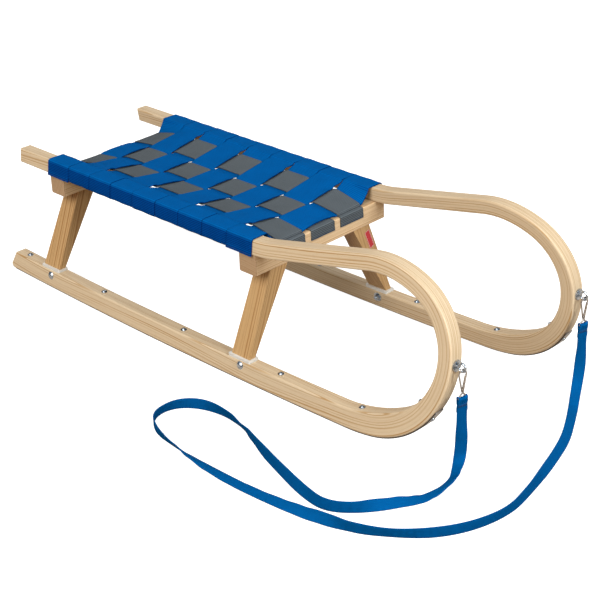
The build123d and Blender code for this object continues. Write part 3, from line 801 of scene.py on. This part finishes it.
collar_dull = (0.68, 0.66, 0.61, 1)
collar_clean = (0.76, 0.74, 0.69, 1)

collar_finish, tree, shader = new_finish("collar_plastic")
place = tree.place()
mould = tree.noise(place, 900.0, 2.0)
grime = tree.noise(place, 60.0, 3.0, 0.6)
dressed(tree, shader, tree.mix(grime, collar_dull, collar_clean), tree.times_plus(mould, 0.2, 0.38),
        mould, depth=0.00008, strength=0.5)
corners = [f"{end}_{side}" for end in ("front", "rear") for side in ("left", "right")]
finish_nodes(collar_finish, *(f"collar_{corner}" for corner in corners))


# ---- Yokes and legs ----
# Sawn beech, a little redder than the ash. The yokes lie under both rails and the splayed legs
# are tenoned and glued into them, with sanded corners and clear varnish.

yoke_pale = (0.74, 0.535, 0.320, 1)
yoke_deep = (0.465, 0.265, 0.120, 1)
leg_pale = (0.56, 0.352, 0.160, 1)
leg_deep = (0.34, 0.160, 0.048, 1)
leg_splay = 0.37
leg_spacing = 0.5379
heart_y = 0.152  # where the heart of a leg's plank would meet the floor
heart_ahead = 0.03
yoke_front_face = front_yoke[1].x
yoke_end = front_yoke[1].y


def yoke_place(tree):
    """Grain that runs across the sled."""
    x, y, z = tree.split(tree.place())
    rising = tree.times(tree.minus(z, x), sqrt(0.5))
    falling = tree.times(tree.plus(z, x), sqrt(0.5))
    return tree.vector(y, rising, falling)


def leg_place(tree):
    """Grain that runs up the splayed legs, each leg from a plank of its own."""
    x, y, z = tree.split(tree.place())
    splay = tree.times_plus(z, leg_splay, tree.size_of(y))
    is_rear = tree.calc("LESS_THAN", x, 0.0)
    ahead = tree.minus(tree.times_plus(is_rear, leg_spacing, x), yoke_front_face)
    plank = tree.times_plus(is_rear, 1.6, tree.calc("SIGN", y))
    return tree.vector(tree.times_plus(plank, 2.3, z), tree.minus(splay, heart_y),
                       tree.minus(ahead, heart_ahead))


def yoke_ends(tree):
    """The sawn ends of a yoke."""
    y = tree.split(tree.place())[1]
    return tree.spread(tree.size_of(y), yoke_end - 0.0012, yoke_end - 0.0004)


yoke_finish = varnished("yoke_beech", yoke_place, yoke_ends, Pale=yoke_pale, Deep=yoke_deep,
                        Ring_Width=0.0030, Heart_Distance=0.12, Waviness=0.0016, Line_Strength=0.75)
leg_finish = varnished("leg_beech", leg_place, None, Pale=leg_pale, Deep=leg_deep, Ring_Width=0.0046,
                       Heart_Distance=0.0, Waviness=0.0022, Line_Strength=0.80)
finish_nodes(yoke_finish, "yoke_front", "yoke_rear")
finish_nodes(leg_finish, *(f"leg_{corner}" for corner in corners))


# ---- Leg bolts ----
# Zinc-plated dome-headed bolts, M6, through the runner and the foot tenon of each leg, with a
# washer and a nut on the inside. They have the runner bolts' plating.

finish_nodes(zinc_finish, *(f"leg_bolt_{corner}" for corner in corners))


# ---- Seat belts ----
# Polypropylene webbing woven over and under: nine blue belts of 63 mm from rail to rail and three
# grey ones of 60.5 mm from yoke to yoke. The blue ones wrap the rails and are stapled beneath. The
# first and last of them, and the grey ones on the yokes' outer faces, end in a sewn hem.

belt_width = 0.063
grey_width = 0.0605
belt_thickness = 0.002
belt_steps = 14
belt_spacing = 0.076
belt_blue = (0.0006, 0.104, 0.364)
belt_grey = (0.106, 0.124, 0.138)
thread_deep = (0.0006, 0.008, 0.030, 1)
thread_light = (0.002, 0.022, 0.075, 1)
layer_shift = 0.0013
rest_gap = 0.0003
lift = rest_gap + belt_thickness / 2

# The woven part ends short of the rails and of the yokes. It sags in the middle, and dips to each
# yoke over its last 100 mm, less towards the rails.
seat_half = 0.1275
yoke_margin = 0.007
seat_sag = 0.0186
yoke_reach = 0.100
yoke_dip_ends = 0.108

# How finely the belts' meshes are cut: round the wood, along the grey belts, and across the seat
wrap_step = 0.003
seat_step = 0.0018
seat_steps = 104

# Full width of a blue belt at places across the seat: it draws in where it changes layer
blue_width = [
    (0.000, 0.0634), (0.030, 0.0634), (0.038, 0.0630), (0.046, 0.0634), (0.092, 0.0634),
    (0.104, 0.0629), (0.111, 0.0625), (0.119, 0.0632), (0.130, 0.0637),
]

# Where a blue belt changes layer beside the middle grey one and beyond the outer ones, and half the
# run over which a grey belt changes layer
middle_turn = (0.0300, 0.0460)
rail_turn = (0.1060, 0.128)
grey_turn = 0.0062

# Folded ends, and the hems with their thread
belt_fold = 0.018
rail_corner = 0.0058
yoke_corner = 0.0054
hem_depth = 0.0060
hem_slope = 0.0012
hem_extra = 0.0007
seam_inset = 0.0030
seam_lift = 0.0018
stitch_pitch = 0.0031
blue_seam = 0.060
grey_seam = 0.057

# How the belts' free edges curl, cup on the rails, waver, and draw in beside them
curl_width = 0.0095
edge_curl = 0.0011
front_curl = 0.0015
grey_curl = 0.0006
grey_curl_width = 0.008
cupping = 0.00028
riding_up = 0.0004
wavering = 0.0003
drawing_in = 0.045

yoke_rear_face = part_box("yoke_rear")[0].x
rail_inner = floor_half_track - rail_top * tan(lean) - side_half
belts = [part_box(f"cross_belt_{number}") for number in range(1, 10)]
belt_middles = [(low.x + high.x) / 2 for low, high in belts]

# the blue belts get painted shade on their upright faces
blue_finish = webbing_finish("belt_webbing_blue", belt_blue, belt_width / 2, rib=0.0032, yarn=0.0017,
                             rib_shade=0.36, edge_shade=0.50, upright_shade=0.42)
grey_finish = webbing_finish("belt_webbing_grey", belt_grey, grey_width / 2, rib=0.0030, yarn=0.0017,
                             rib_shade=0.34, edge_shade=0.30)

thread_finish, tree, shader = new_finish("sewing_thread")
twist = tree.noise(tree.place(), 1800.0, 2.0)
dressed(tree, shader, tree.mix(twist, thread_deep, thread_light), tree.times_plus(twist, 0.2, 0.55),
        twist, depth=0.0002)


def stitch_row(name, centres, direction, out, length, radius):
    """A row of short thread stitches in one mesh, each a bowed, tapered bead of thread."""
    shell = bmesh.new()
    across = direction.cross(out).normalized()
    sides = 6
    for centre in centres:
        rings = []
        for step in range(5):
            share = step / 4
            bow = sin(pi * share)
            middle = centre + direction * (share - 0.5) * length + out * radius * 0.9 * bow
            size = radius * (0.45 + 0.55 * bow)
            ring = []
            for side in range(sides):
                turn = 2 * pi * side / sides
                ring.append(shell.verts.new(middle + (across * cos(turn) + out * sin(turn)) * size))
            rings.append(ring)
        for first, second in zip(rings, rings[1:]):
            for side in range(sides):
                after = (side + 1) % sides
                shell.faces.new((first[side], first[after], second[after], second[side]))
        shell.faces.new(rings[0])
        shell.faces.new(rings[-1])
    mesh = bpy.data.meshes.new(name)
    shell.to_mesh(mesh)
    shell.free()
    placed(name, smooth_mesh(mesh, 60), thread_finish)


def hem_row(name, middle, along, out, width):
    """Dark thread sewn through a hem."""
    count = round(width / stitch_pitch)
    centres = [middle + along * ((step - (count - 1) / 2) * stitch_pitch) for step in range(count)]
    stitch_row(name, centres, along, out, length=0.0023, radius=0.00055)


def seat_height(x, y):
    """Middle between the two layers of the seat: it sags from rail to rail and dips at the yokes."""
    open_depth = seat_sag * (1 - min(abs(y) / rail_inner, 1.0) ** 2)
    yoke_depth = rail_top - yoke_top - lift - layer_shift
    yoke_depth *= 1 - eased(abs(y), yoke_dip_ends, rail_inner)
    near = max(1 - (yoke_front_face - x) / yoke_reach, 1 - (x - yoke_rear_face) / yoke_reach, 0.0)
    near = min(near, 1.0) ** 1.5
    return rail_top + lift - (open_depth * (1 - near) + (yoke_depth + lift) * near)


def cross_over(number, y):
    """Which layer a blue belt is in: 1 over the grey ones, -1 under them, 0 on the rails."""
    outer = -1 if number % 2 == 0 else 1
    turn = eased(abs(y), *middle_turn)
    return (-outer * (1 - turn) + outer * turn) * (1 - eased(abs(y), *rail_turn))


def long_over(column, x):
    """Which layer a grey belt is in: 1 over the blue ones, -1 under them."""
    overs = [(1 if number % 2 == 0 else -1) * (1 if column else -1) for number in range(9)]
    turns = [(front + rear) / 2 for front, rear in zip(belt_middles, belt_middles[1:])]
    over = overs[0]
    for number, place in enumerate(turns):
        over += (overs[number + 1] - overs[number]) * (1 - eased(x, place - grey_turn, place + grey_turn))
    front_edge = belt_middles[0] + belt_width / 2
    rear_edge = belt_middles[8] - belt_width / 2
    over += (-1 - overs[0]) * eased(x, front_edge - 0.002, yoke_front_face - 0.001)
    over += (-1 - overs[8]) * (1 - eased(x, yoke_rear_face + 0.001, rear_edge + 0.002))
    return over


def rounded(points, radius, steps=5):
    """Open path in two dimensions with its corners rounded."""
    points = [Vector(point) for point in points]
    path = [points[0]]
    for before, corner, after in zip(points, points[1:], points[2:]):
        back = (before - corner).normalized()
        on = (after - corner).normalized()
        half = back.angle(on) / 2
        cut = min(radius / tan(half), (before - corner).length * 0.49, (after - corner).length * 0.49)
        start = corner + back * cut
        end = corner + on * cut
        for step in range(steps + 1):
            share = step / steps
            path.append(start * (1 - share) ** 2 + corner * 2 * share * (1 - share) + end * share**2)
    path.append(points[-1])
    return path


def spaced(path):
    """The same path with extra points, so that its runs are short."""
    found = [path[0]]
    for before, after in zip(path, path[1:]):
        parts = max(1, round((after - before).length / wrap_step))
        found += [before.lerp(after, part / parts) for part in range(1, parts + 1)]
    return found


def outward(path, step):
    """Direction away from the seat's underside at a point of a belt's path."""
    before = path[max(step - 1, 0)]
    after = path[min(step + 1, len(path) - 1)]
    run = (after - before).normalized()
    return Vector((-run.y, run.x))


def hem_swell(lengths, step):
    """What a hem adds to the outer face near either end of a belt."""
    from_end = min(lengths[step], lengths[-1] - lengths[step])
    return hem_extra * (1 - eased(from_end, hem_depth, hem_depth + hem_slope))


def rail_path(fold):
    """Blue belt's middle round the left rail: over its top, down its outer face and under it."""
    outer_top = rail_inner + 2 * side_half + lift
    outer_low = floor_half_track - yoke_top * tan(lean) + side_half + lift
    low = yoke_top - lift
    path = [(seat_half + 0.0005, rail_top + lift), (outer_top, rail_top + lift), (outer_low, low)]
    if fold:
        path.append((outer_low - fold, low))
    return spaced(rounded(path, rail_corner))


def cross_belt(number):
    """One blue belt, from under the right rail over the seat to under the left one."""
    middle = belt_middles[number]
    at_end = number in (0, 8)
    wrap = rail_path(0 if at_end else belt_fold)
    seat = [Vector((seat_half * (2 * step / seat_steps - 1), 0.0)) for step in range(seat_steps + 1)]
    for point in seat:
        point.y = seat_height(middle, point.x) + cross_over(number, point.x) * layer_shift
    path = [Vector((-point.x, point.y)) for point in wrap[:0:-1]] + seat + wrap[1:]
    on_seat = range(len(wrap) - 1, len(wrap) + seat_steps)
    lengths = run_lengths(path)
    rings = []
    ride_up = riding_up if number % 2 == 0 else 0.0
    for step, here in enumerate(path):
        out = outward(path, step)
        aside = abs(here.x)
        # the free edges waver, each belt's in its own way
        width = between(blue_width, aside)
        width -= wavering * (1 + sin(number * 2.3 + here.x * 31)) * (1 - eased(aside, 0.100, 0.130))
        over = cross_over(number, here.x)
        # they curl where it crosses a grey belt and beside the rails, and hardly in between
        from_grey = min(abs(aside - belt_spacing), aside)
        curled = 1 - 0.80 * eased(from_grey, 0.010, 0.031)
        curled = max(curled, 0.85 * eased(aside, 0.100, 0.109))
        hem = hem_swell(lengths, step) if at_end else 0.0
        on_rail = eased(aside, 0.118, 0.132)
        # every other belt is drawn in at its front edge by the rails, further down on the left one
        back_out = (0.132, 0.158) if here.x > 0 else (0.122, 0.136)
        drawn_in = drawing_in * eased(aside, 0.098, 0.106) * (1 - eased(aside, *back_out))
        drawn_in *= number % 2
        ring = []
        for a, h in webbing_outline(width, belt_thickness, belt_steps):
            x = middle + a * (1 - drawn_in * eased(a, 0.0, width / 2))
            rim = eased(abs(a), width / 2 - curl_width, width / 2)
            curl = over * edge_curl * rim * curled
            if a > 0 and over > 0:
                curl += over * front_curl * rim * curled
            cup = on_rail * (ride_up + cupping * sin(a * 150 + number * 1.7 + here.x * 45))
            z = here.y
            if step in on_seat:
                z = seat_height(x, here.x) + over * layer_shift + curl
            reach = h + cup + (hem if h > 0 else 0.0)
            ring.append(Vector((x, here.x + out.x * reach, z + out.y * reach)))
        rings.append(ring)
    name = f"blue_belt_{number + 1}"
    across = [a for a, h in webbing_outline(belt_width, belt_thickness, belt_steps)]
    piece = placed(name, woven_strip(name, rings, lengths, across), blue_finish)
    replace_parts(piece, f"cross_belt_{number + 1}")
    if at_end:
        low = wrap[-1]
        tilt = (wrap[-2] - low).normalized()
        out = Vector((tilt.y, -tilt.x))
        seam = low + tilt * seam_inset + out * (seam_lift + ride_up)
        for side, sign in (("left", 1), ("right", -1)):
            hem_row(f"hem_stitches_blue_{number + 1}_{side}", Vector((middle, sign * seam.x, seam.y)),
                    Vector((1, 0, 0)), Vector((0, sign * out.x, out.y)), blue_seam)


def yoke_path(face, sign):
    """Grey belt's middle over the top of a yoke and down its outer face, which faces sign."""
    over_yoke = yoke_top + lift
    outer = face + sign * lift
    path = [(face - sign * 0.006, over_yoke), (outer, over_yoke), (outer, yoke_top - belt_fold)]
    return spaced(rounded(path, yoke_corner))


def long_belt(column, column_name):
    """One grey belt, from the rear yoke's back over the seat to the front yoke's front."""
    start = yoke_rear_face + yoke_margin
    finish = yoke_front_face - yoke_margin
    steps = round((finish - start) / seat_step)
    middle = column * belt_spacing
    seat = [Vector((start + (finish - start) * step / steps, 0.0)) for step in range(steps + 1)]
    for point in seat:
        point.y = seat_height(point.x, middle) + long_over(column, point.x) * layer_shift
    rear_part = yoke_path(yoke_rear_face, -1)[::-1]
    path = rear_part + seat + yoke_path(yoke_front_face, 1)
    on_seat = range(len(rear_part), len(rear_part) + steps + 1)
    lengths = run_lengths(path)
    outline = webbing_outline(grey_width, belt_thickness, belt_steps)
    rings = []
    for step, here in enumerate(path):
        out = outward(path, step)
        hem = hem_swell(lengths, step)
        over = long_over(column, here.x)
        ring = []
        for a, h in outline:
            z = here.y
            if step in on_seat:
                z = seat_height(here.x, middle + a) + over * layer_shift
                z += grey_curl * over * eased(abs(a), grey_width / 2 - grey_curl_width, grey_width / 2)
            reach = h + (hem if h > 0 else 0.0)
            ring.append(Vector((here.x + out.x * reach, middle + a, z + out.y * reach)))
        rings.append(ring)
    name = f"grey_belt_{column_name}"
    mesh = woven_strip(name, rings, lengths, [a for a, h in outline])
    piece = placed(name, mesh, grey_finish)
    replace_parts(piece, f"long_belt_{column_name}")
    seam = yoke_top - belt_fold + seam_inset
    for end, face, sign in (("front", yoke_front_face, 1), ("rear", yoke_rear_face, -1)):
        hem_row(f"hem_stitches_grey_{column_name}_{end}",
                Vector((face + sign * (lift + seam_lift), middle, seam)),
                Vector((0, 1, 0)), Vector((sign, 0, 0)), grey_seam)


for number in range(9):
    cross_belt(number)
for column, column_name in ((-1, "right"), (0, "middle"), (1, "left")):
    long_belt(column, column_name)


# ---- Maker's label ----
# A plain red vinyl label with a thin pale border, stuck to the front of the left front leg. It
# carries no words.

label_wide = 0.0128
label_tall = 0.0400
label_thickness = 0.00016
label_corner = 0.0016
label_red = (0.50, 0.018, 0.030, 1)
label_light_red = (0.62, 0.030, 0.045, 1)
label_border = (0.85, 0.80, 0.78, 1)
label_middle = Vector((0.11945, 0.1290, 0.1686))
label_down = Vector((0, 0.378, -0.926)).normalized()
label_side = Vector((0, -label_down.z, label_down.y))

# Rounded oblong, as (across, down)
label_outline = []
for corner, (across, down) in enumerate(((1, 1), (-1, 1), (-1, -1), (1, -1))):
    centre = Vector((across * (label_wide / 2 - label_corner), down * (label_tall / 2 - label_corner)))
    for step in range(5):
        turn = pi / 2 * (corner + step / 4)
        label_outline.append(centre + Vector((cos(turn), sin(turn))) * label_corner)

label_rings = [[label_middle + Vector((height, 0, 0)) + label_side * p.x + label_down * p.y
                for p in label_outline] for height in (0.0, label_thickness)]
label_mesh = closed_skin("plain_label", label_rings)
layer = label_mesh.uv_layers.new(name="label")
for loop in label_mesh.loops:
    layer.data[loop.index].uv = label_outline[loop.vertex_index % len(label_outline)]
smooth_mesh(label_mesh, 30)

label_finish, tree, shader = new_finish("label_vinyl")
place = tree.split(tree.add("UVMap", uv_map="label").outputs[0])
from_side = tree.minus(label_wide / 2, tree.size_of(place[0]))
from_end = tree.minus(label_tall / 2, tree.size_of(place[1]))
inset = tree.calc("MINIMUM", from_side, from_end)
keyline = tree.times(tree.spread(inset, 0.0006, 0.0007), tree.spread(inset, 0.0012, 0.0011))
ink = tree.noise(tree.vector(place[0], place[1], 0.0), 700.0, 2.0)
red = tree.mix(ink, label_red, label_light_red)
dressed(tree, shader, tree.mix(keyline, red, label_border), tree.times_plus(ink, 0.15, 0.28), ink,
        depth=0.00002, strength=0.4)
placed("plain_label", label_mesh, label_finish)


# ---- Eye bolts and snap hooks ----
# Forged zinc-plated eye bolts screwed into the foremost point of each side, and the closed wire
# hooks that hang in them, each with a sleeve as its spring gate. The wire is bright and warmer.

wire_tone = (0.24, 0.20, 0.17, 1)
wire_bright = (0.74, 0.68, 0.62, 1)
gate_radius = 0.00185
least_radius = 0.0002

# Ends of the gate's middle line, as (out from the hook's middle, height)
gate_foot = (0.0009, 0.1505)
gate_top = (0.0062, 0.1760)

wire_finish = metal_finish("bright_wire", wire_tone, wire_bright, scratch_scale=300.0, smoothness=0.14,
                           depth=0.00003)
finish_nodes(zinc_finish, "eye_bolt_left", "eye_bolt_right")
finish_nodes(wire_finish, "snap_hook_left", "snap_hook_right")

across = -hook_across
for side in ("left", "right"):
    low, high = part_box(f"snap_hook_{side}")
    middle = (low + high) / 2
    foot, top = [Vector((middle.x, middle.y, height)) + across * out for out, height in (gate_foot, gate_top)]
    run = top - foot
    turns = [pi / 2 * step / 6 for step in range(7)]
    rows = [(gate_radius * sin(turn), gate_radius * (1 - cos(turn))) for turn in turns]
    rows += [(gate_radius * cos(turn), run.length - gate_radius * (1 - sin(turn))) for turn in turns]
    rows = [(max(radius, least_radius), height) for radius, height in rows]
    mesh = stood(turned(f"hook_gate_{side}", rows, 20), foot, run)
    placed(f"hook_gate_{side}", mesh, wire_finish)


# ---- Sewn loops of the pull strap ----
# Each end of the strap is gathered, folded back round the hook's bar and sewn to itself through
# both layers with a band of dark blue thread.

# Heights are measured from the middle of the hook's bar
loop_radius = 0.0028
layer_offset = 0.00125
bar_above_end = 0.0213
loop_steps = 12
gathered_half = 0.0056
gather_heights = (-0.0105, 0.0005)
ripple_depth = 0.00075
ear_rise = 0.0032
ear_spread = 0.0034

# The sewn band, which pinches the webbing: rows of stitches, the upper ones wider apart
band_below_bar = 0.0100
pinch_reach = 0.0045
band_rows = 7
band_columns = 11
row_pitch = (0.0013, 0.0016)
column_pitch = 0.0017
row_shift = 0.0006
thread_out = 0.00225

ahead = Vector((cos(hook_turn), -sin(hook_turn), 0))


def sewn_loop(side):
    """Doubled webbing: up the front, over the bar and down the back."""
    end = loop_end(side)
    bar = end + Vector((0, 0, bar_above_end))
    stations = []
    for step in range(loop_steps + 1):
        share = step / loop_steps
        offset = layer_offset + (loop_radius - layer_offset) * eased(share, 0.55, 1.0)
        stations.append(Vector((offset, bar_above_end * (share - 1))))
    back = [Vector((-offset, height)) for offset, height in stations[::-1]]
    for step in range(1, loop_steps):
        turn = pi * step / loop_steps
        stations.append(Vector((loop_radius * cos(turn), loop_radius * sin(turn))))
    stations += back
    outline = webbing_outline(strap_width, strap_thickness * 0.95, 10)
    rings = []
    for number, (offset, height) in enumerate(stations):
        out = -outward(stations, number)
        gather = eased(height, *gather_heights)
        pinch = 1 - 0.10 * eased(pinch_reach - abs(height + band_below_bar), 0.0, pinch_reach)
        ring = []
        for a, h in outline:
            edge = eased(abs(a), 0.0048, 0.0095)
            narrow = a * pinch * (1 - gather * (1 - gathered_half / (strap_width / 2)))
            wide = narrow + (1 if a > 0 else -1) * ear_spread * gather * edge
            ripple = ripple_depth * gather * cos(a * 1000)
            local = stations[number] + out * (h + ripple * (1 - edge))
            rise = Vector((0, 0, local.y + ear_rise * edge * gather))
            ring.append(bar + rise + ahead * local.x + across * wide)
        rings.append(ring)
    name = f"sewn_loop_{side}"
    mesh = woven_strip(name, rings, run_lengths(stations), [a for a, h in outline])
    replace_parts(placed(name, mesh, strap_finish), f"strap_loop_{side}")


for side in ("left", "right"):
    sewn_loop(side)
    band = loop_end(side) + Vector((0, 0, bar_above_end - band_below_bar))
    for layer, sign in (("front", 1), ("back", -1)):
        centres = []
        for row in range(band_rows):
            height = (row - 1.5) * row_pitch[row > 3]
            for column in range(band_columns):
                shift = (column - 5) * column_pitch + (row % 2) * row_shift
                centres.append(band + Vector((0, 0, height)) + across * shift + ahead * sign * thread_out)
        stitch_row(f"loop_stitches_{layer}_{side}", centres, across, ahead * sign, length=0.0016,
                   radius=0.0003)


# ---- Floor and light ----
# A paper floor that looks white to the camera and gives back a warm, weaker light, and a white
# backdrop. A large soft lamp stands high on the right, a smaller cool one ahead and a faint one
# behind. The room's own dim light is cooler where the varnish and the metal mirror it.

floor_reach = 40.0
floor_glow = 0.90
floor_warm = ((0.27, 0.19, 0.11, 1), (0.30, 0.22, 0.14, 1))
floor_white = ((0.52, 0.52, 0.52, 1), (0.56, 0.56, 0.56, 1))
glossy_share = 0.25
room_strength = 0.50
room_tones = ((0.13, 0.10, 0.075, 1), (0.80, 0.72, 0.62, 1))
mirrored_tones = ((0.08, 0.10, 0.13, 1), (0.66, 0.78, 0.92, 1))


def joined(tree, share, first, second, output):
    """Gives an output the first shader, or the second one where share is 1."""
    join = tree.add("MixShader")
    tree.feed(join.inputs[0], share)
    tree.feed(join.inputs[1], first.outputs[0])
    tree.feed(join.inputs[2], second.outputs[0])
    tree.feed(tree.tree.nodes[output].inputs[0], join.outputs[0])


floor_corners = [(across * floor_reach, up * floor_reach, 0)
                 for across, up in ((-1, -1), (1, -1), (1, 1), (-1, 1))]
floor_mesh = bpy.data.meshes.new("studio_floor")
floor_mesh.from_pydata(floor_corners, [], [(0, 1, 2, 3)])
floor_finish, tree, shader = new_finish("studio_floor")
paper = tree.noise(tree.place(), 40.0, 2.0)
tree.feed(shader.inputs["Base Color"], tree.mix(paper, *floor_warm))
seen = tree.add("BsdfPrincipled")
tree.feed(seen.inputs["Base Color"], tree.mix(paper, *floor_white))
seen.inputs["Emission Color"].default_value = (1, 1, 1, 1)
seen.inputs["Emission Strength"].default_value = floor_glow
for matt in (shader, seen):
    matt.inputs["Roughness"].default_value = 0.9
    matt.inputs["Specular IOR Level"].default_value = 0.0
ray = tree.add("LightPath").outputs
seen_share = tree.times_plus(ray["Is Glossy Ray"], glossy_share, ray["Is Camera Ray"])
joined(tree, seen_share, shader, seen, "Material Output")
floor_mesh.materials.append(floor_finish)
floor = bpy.data.objects.new("studio_floor", floor_mesh)
bpy.context.scene.collection.objects.link(floor)

world = bpy.data.worlds.new("studio")
world.use_nodes = True
tree = Sketch(world.node_tree)
way = tree.split(tree.add("TexCoord").outputs["Generated"])
rise = tree.spread(way[2], -0.1, 0.9)
room = tree.mix(rise, *room_tones)
mirrored = tree.mix(rise, *mirrored_tones)
ray = tree.add("LightPath").outputs
room_light = world.node_tree.nodes["Background"]
tree.feed(room_light.inputs[0], tree.mix(ray["Is Glossy Ray"], room, mirrored))
room_light.inputs[1].default_value = room_strength
backdrop = tree.add("Background")
backdrop.inputs[0].default_value = (1, 1, 1, 1)
joined(tree, ray["Is Camera Ray"], room_light, backdrop, "World Output")
bpy.context.scene.world = world
bpy.context.scene.view_settings.view_transform = "Standard"


def lamp(name, kind, power, way, **shape):
    """A soft studio lamp that shines on the sled from the given way."""
    data = bpy.data.lights.new(name, kind)
    data.energy = power
    for setting, value in shape.items():
        setattr(data, setting, value)
    found = bpy.data.objects.new(name, data)
    found.location = Vector(way)
    found.rotation_euler = (-Vector(way)).to_track_quat("-Z", "Y").to_euler()
    found.visible_camera = False
    bpy.context.scene.collection.objects.link(found)
    return found


lamp("side_lamp", "AREA", 565, (1.30, -6.35, 5.05), shape="DISK", size=5.2)
lamp("front_lamp", "AREA", 114, (3.6, -0.05, 1.86), shape="DISK", size=1.6, color=(0.93, 1.0, 1.06))
back_lamp = lamp("back_lamp", "SUN", 1.3, (-1.5, 1.6, 0.5), angle=radians(50))
back_lamp.visible_glossy = False
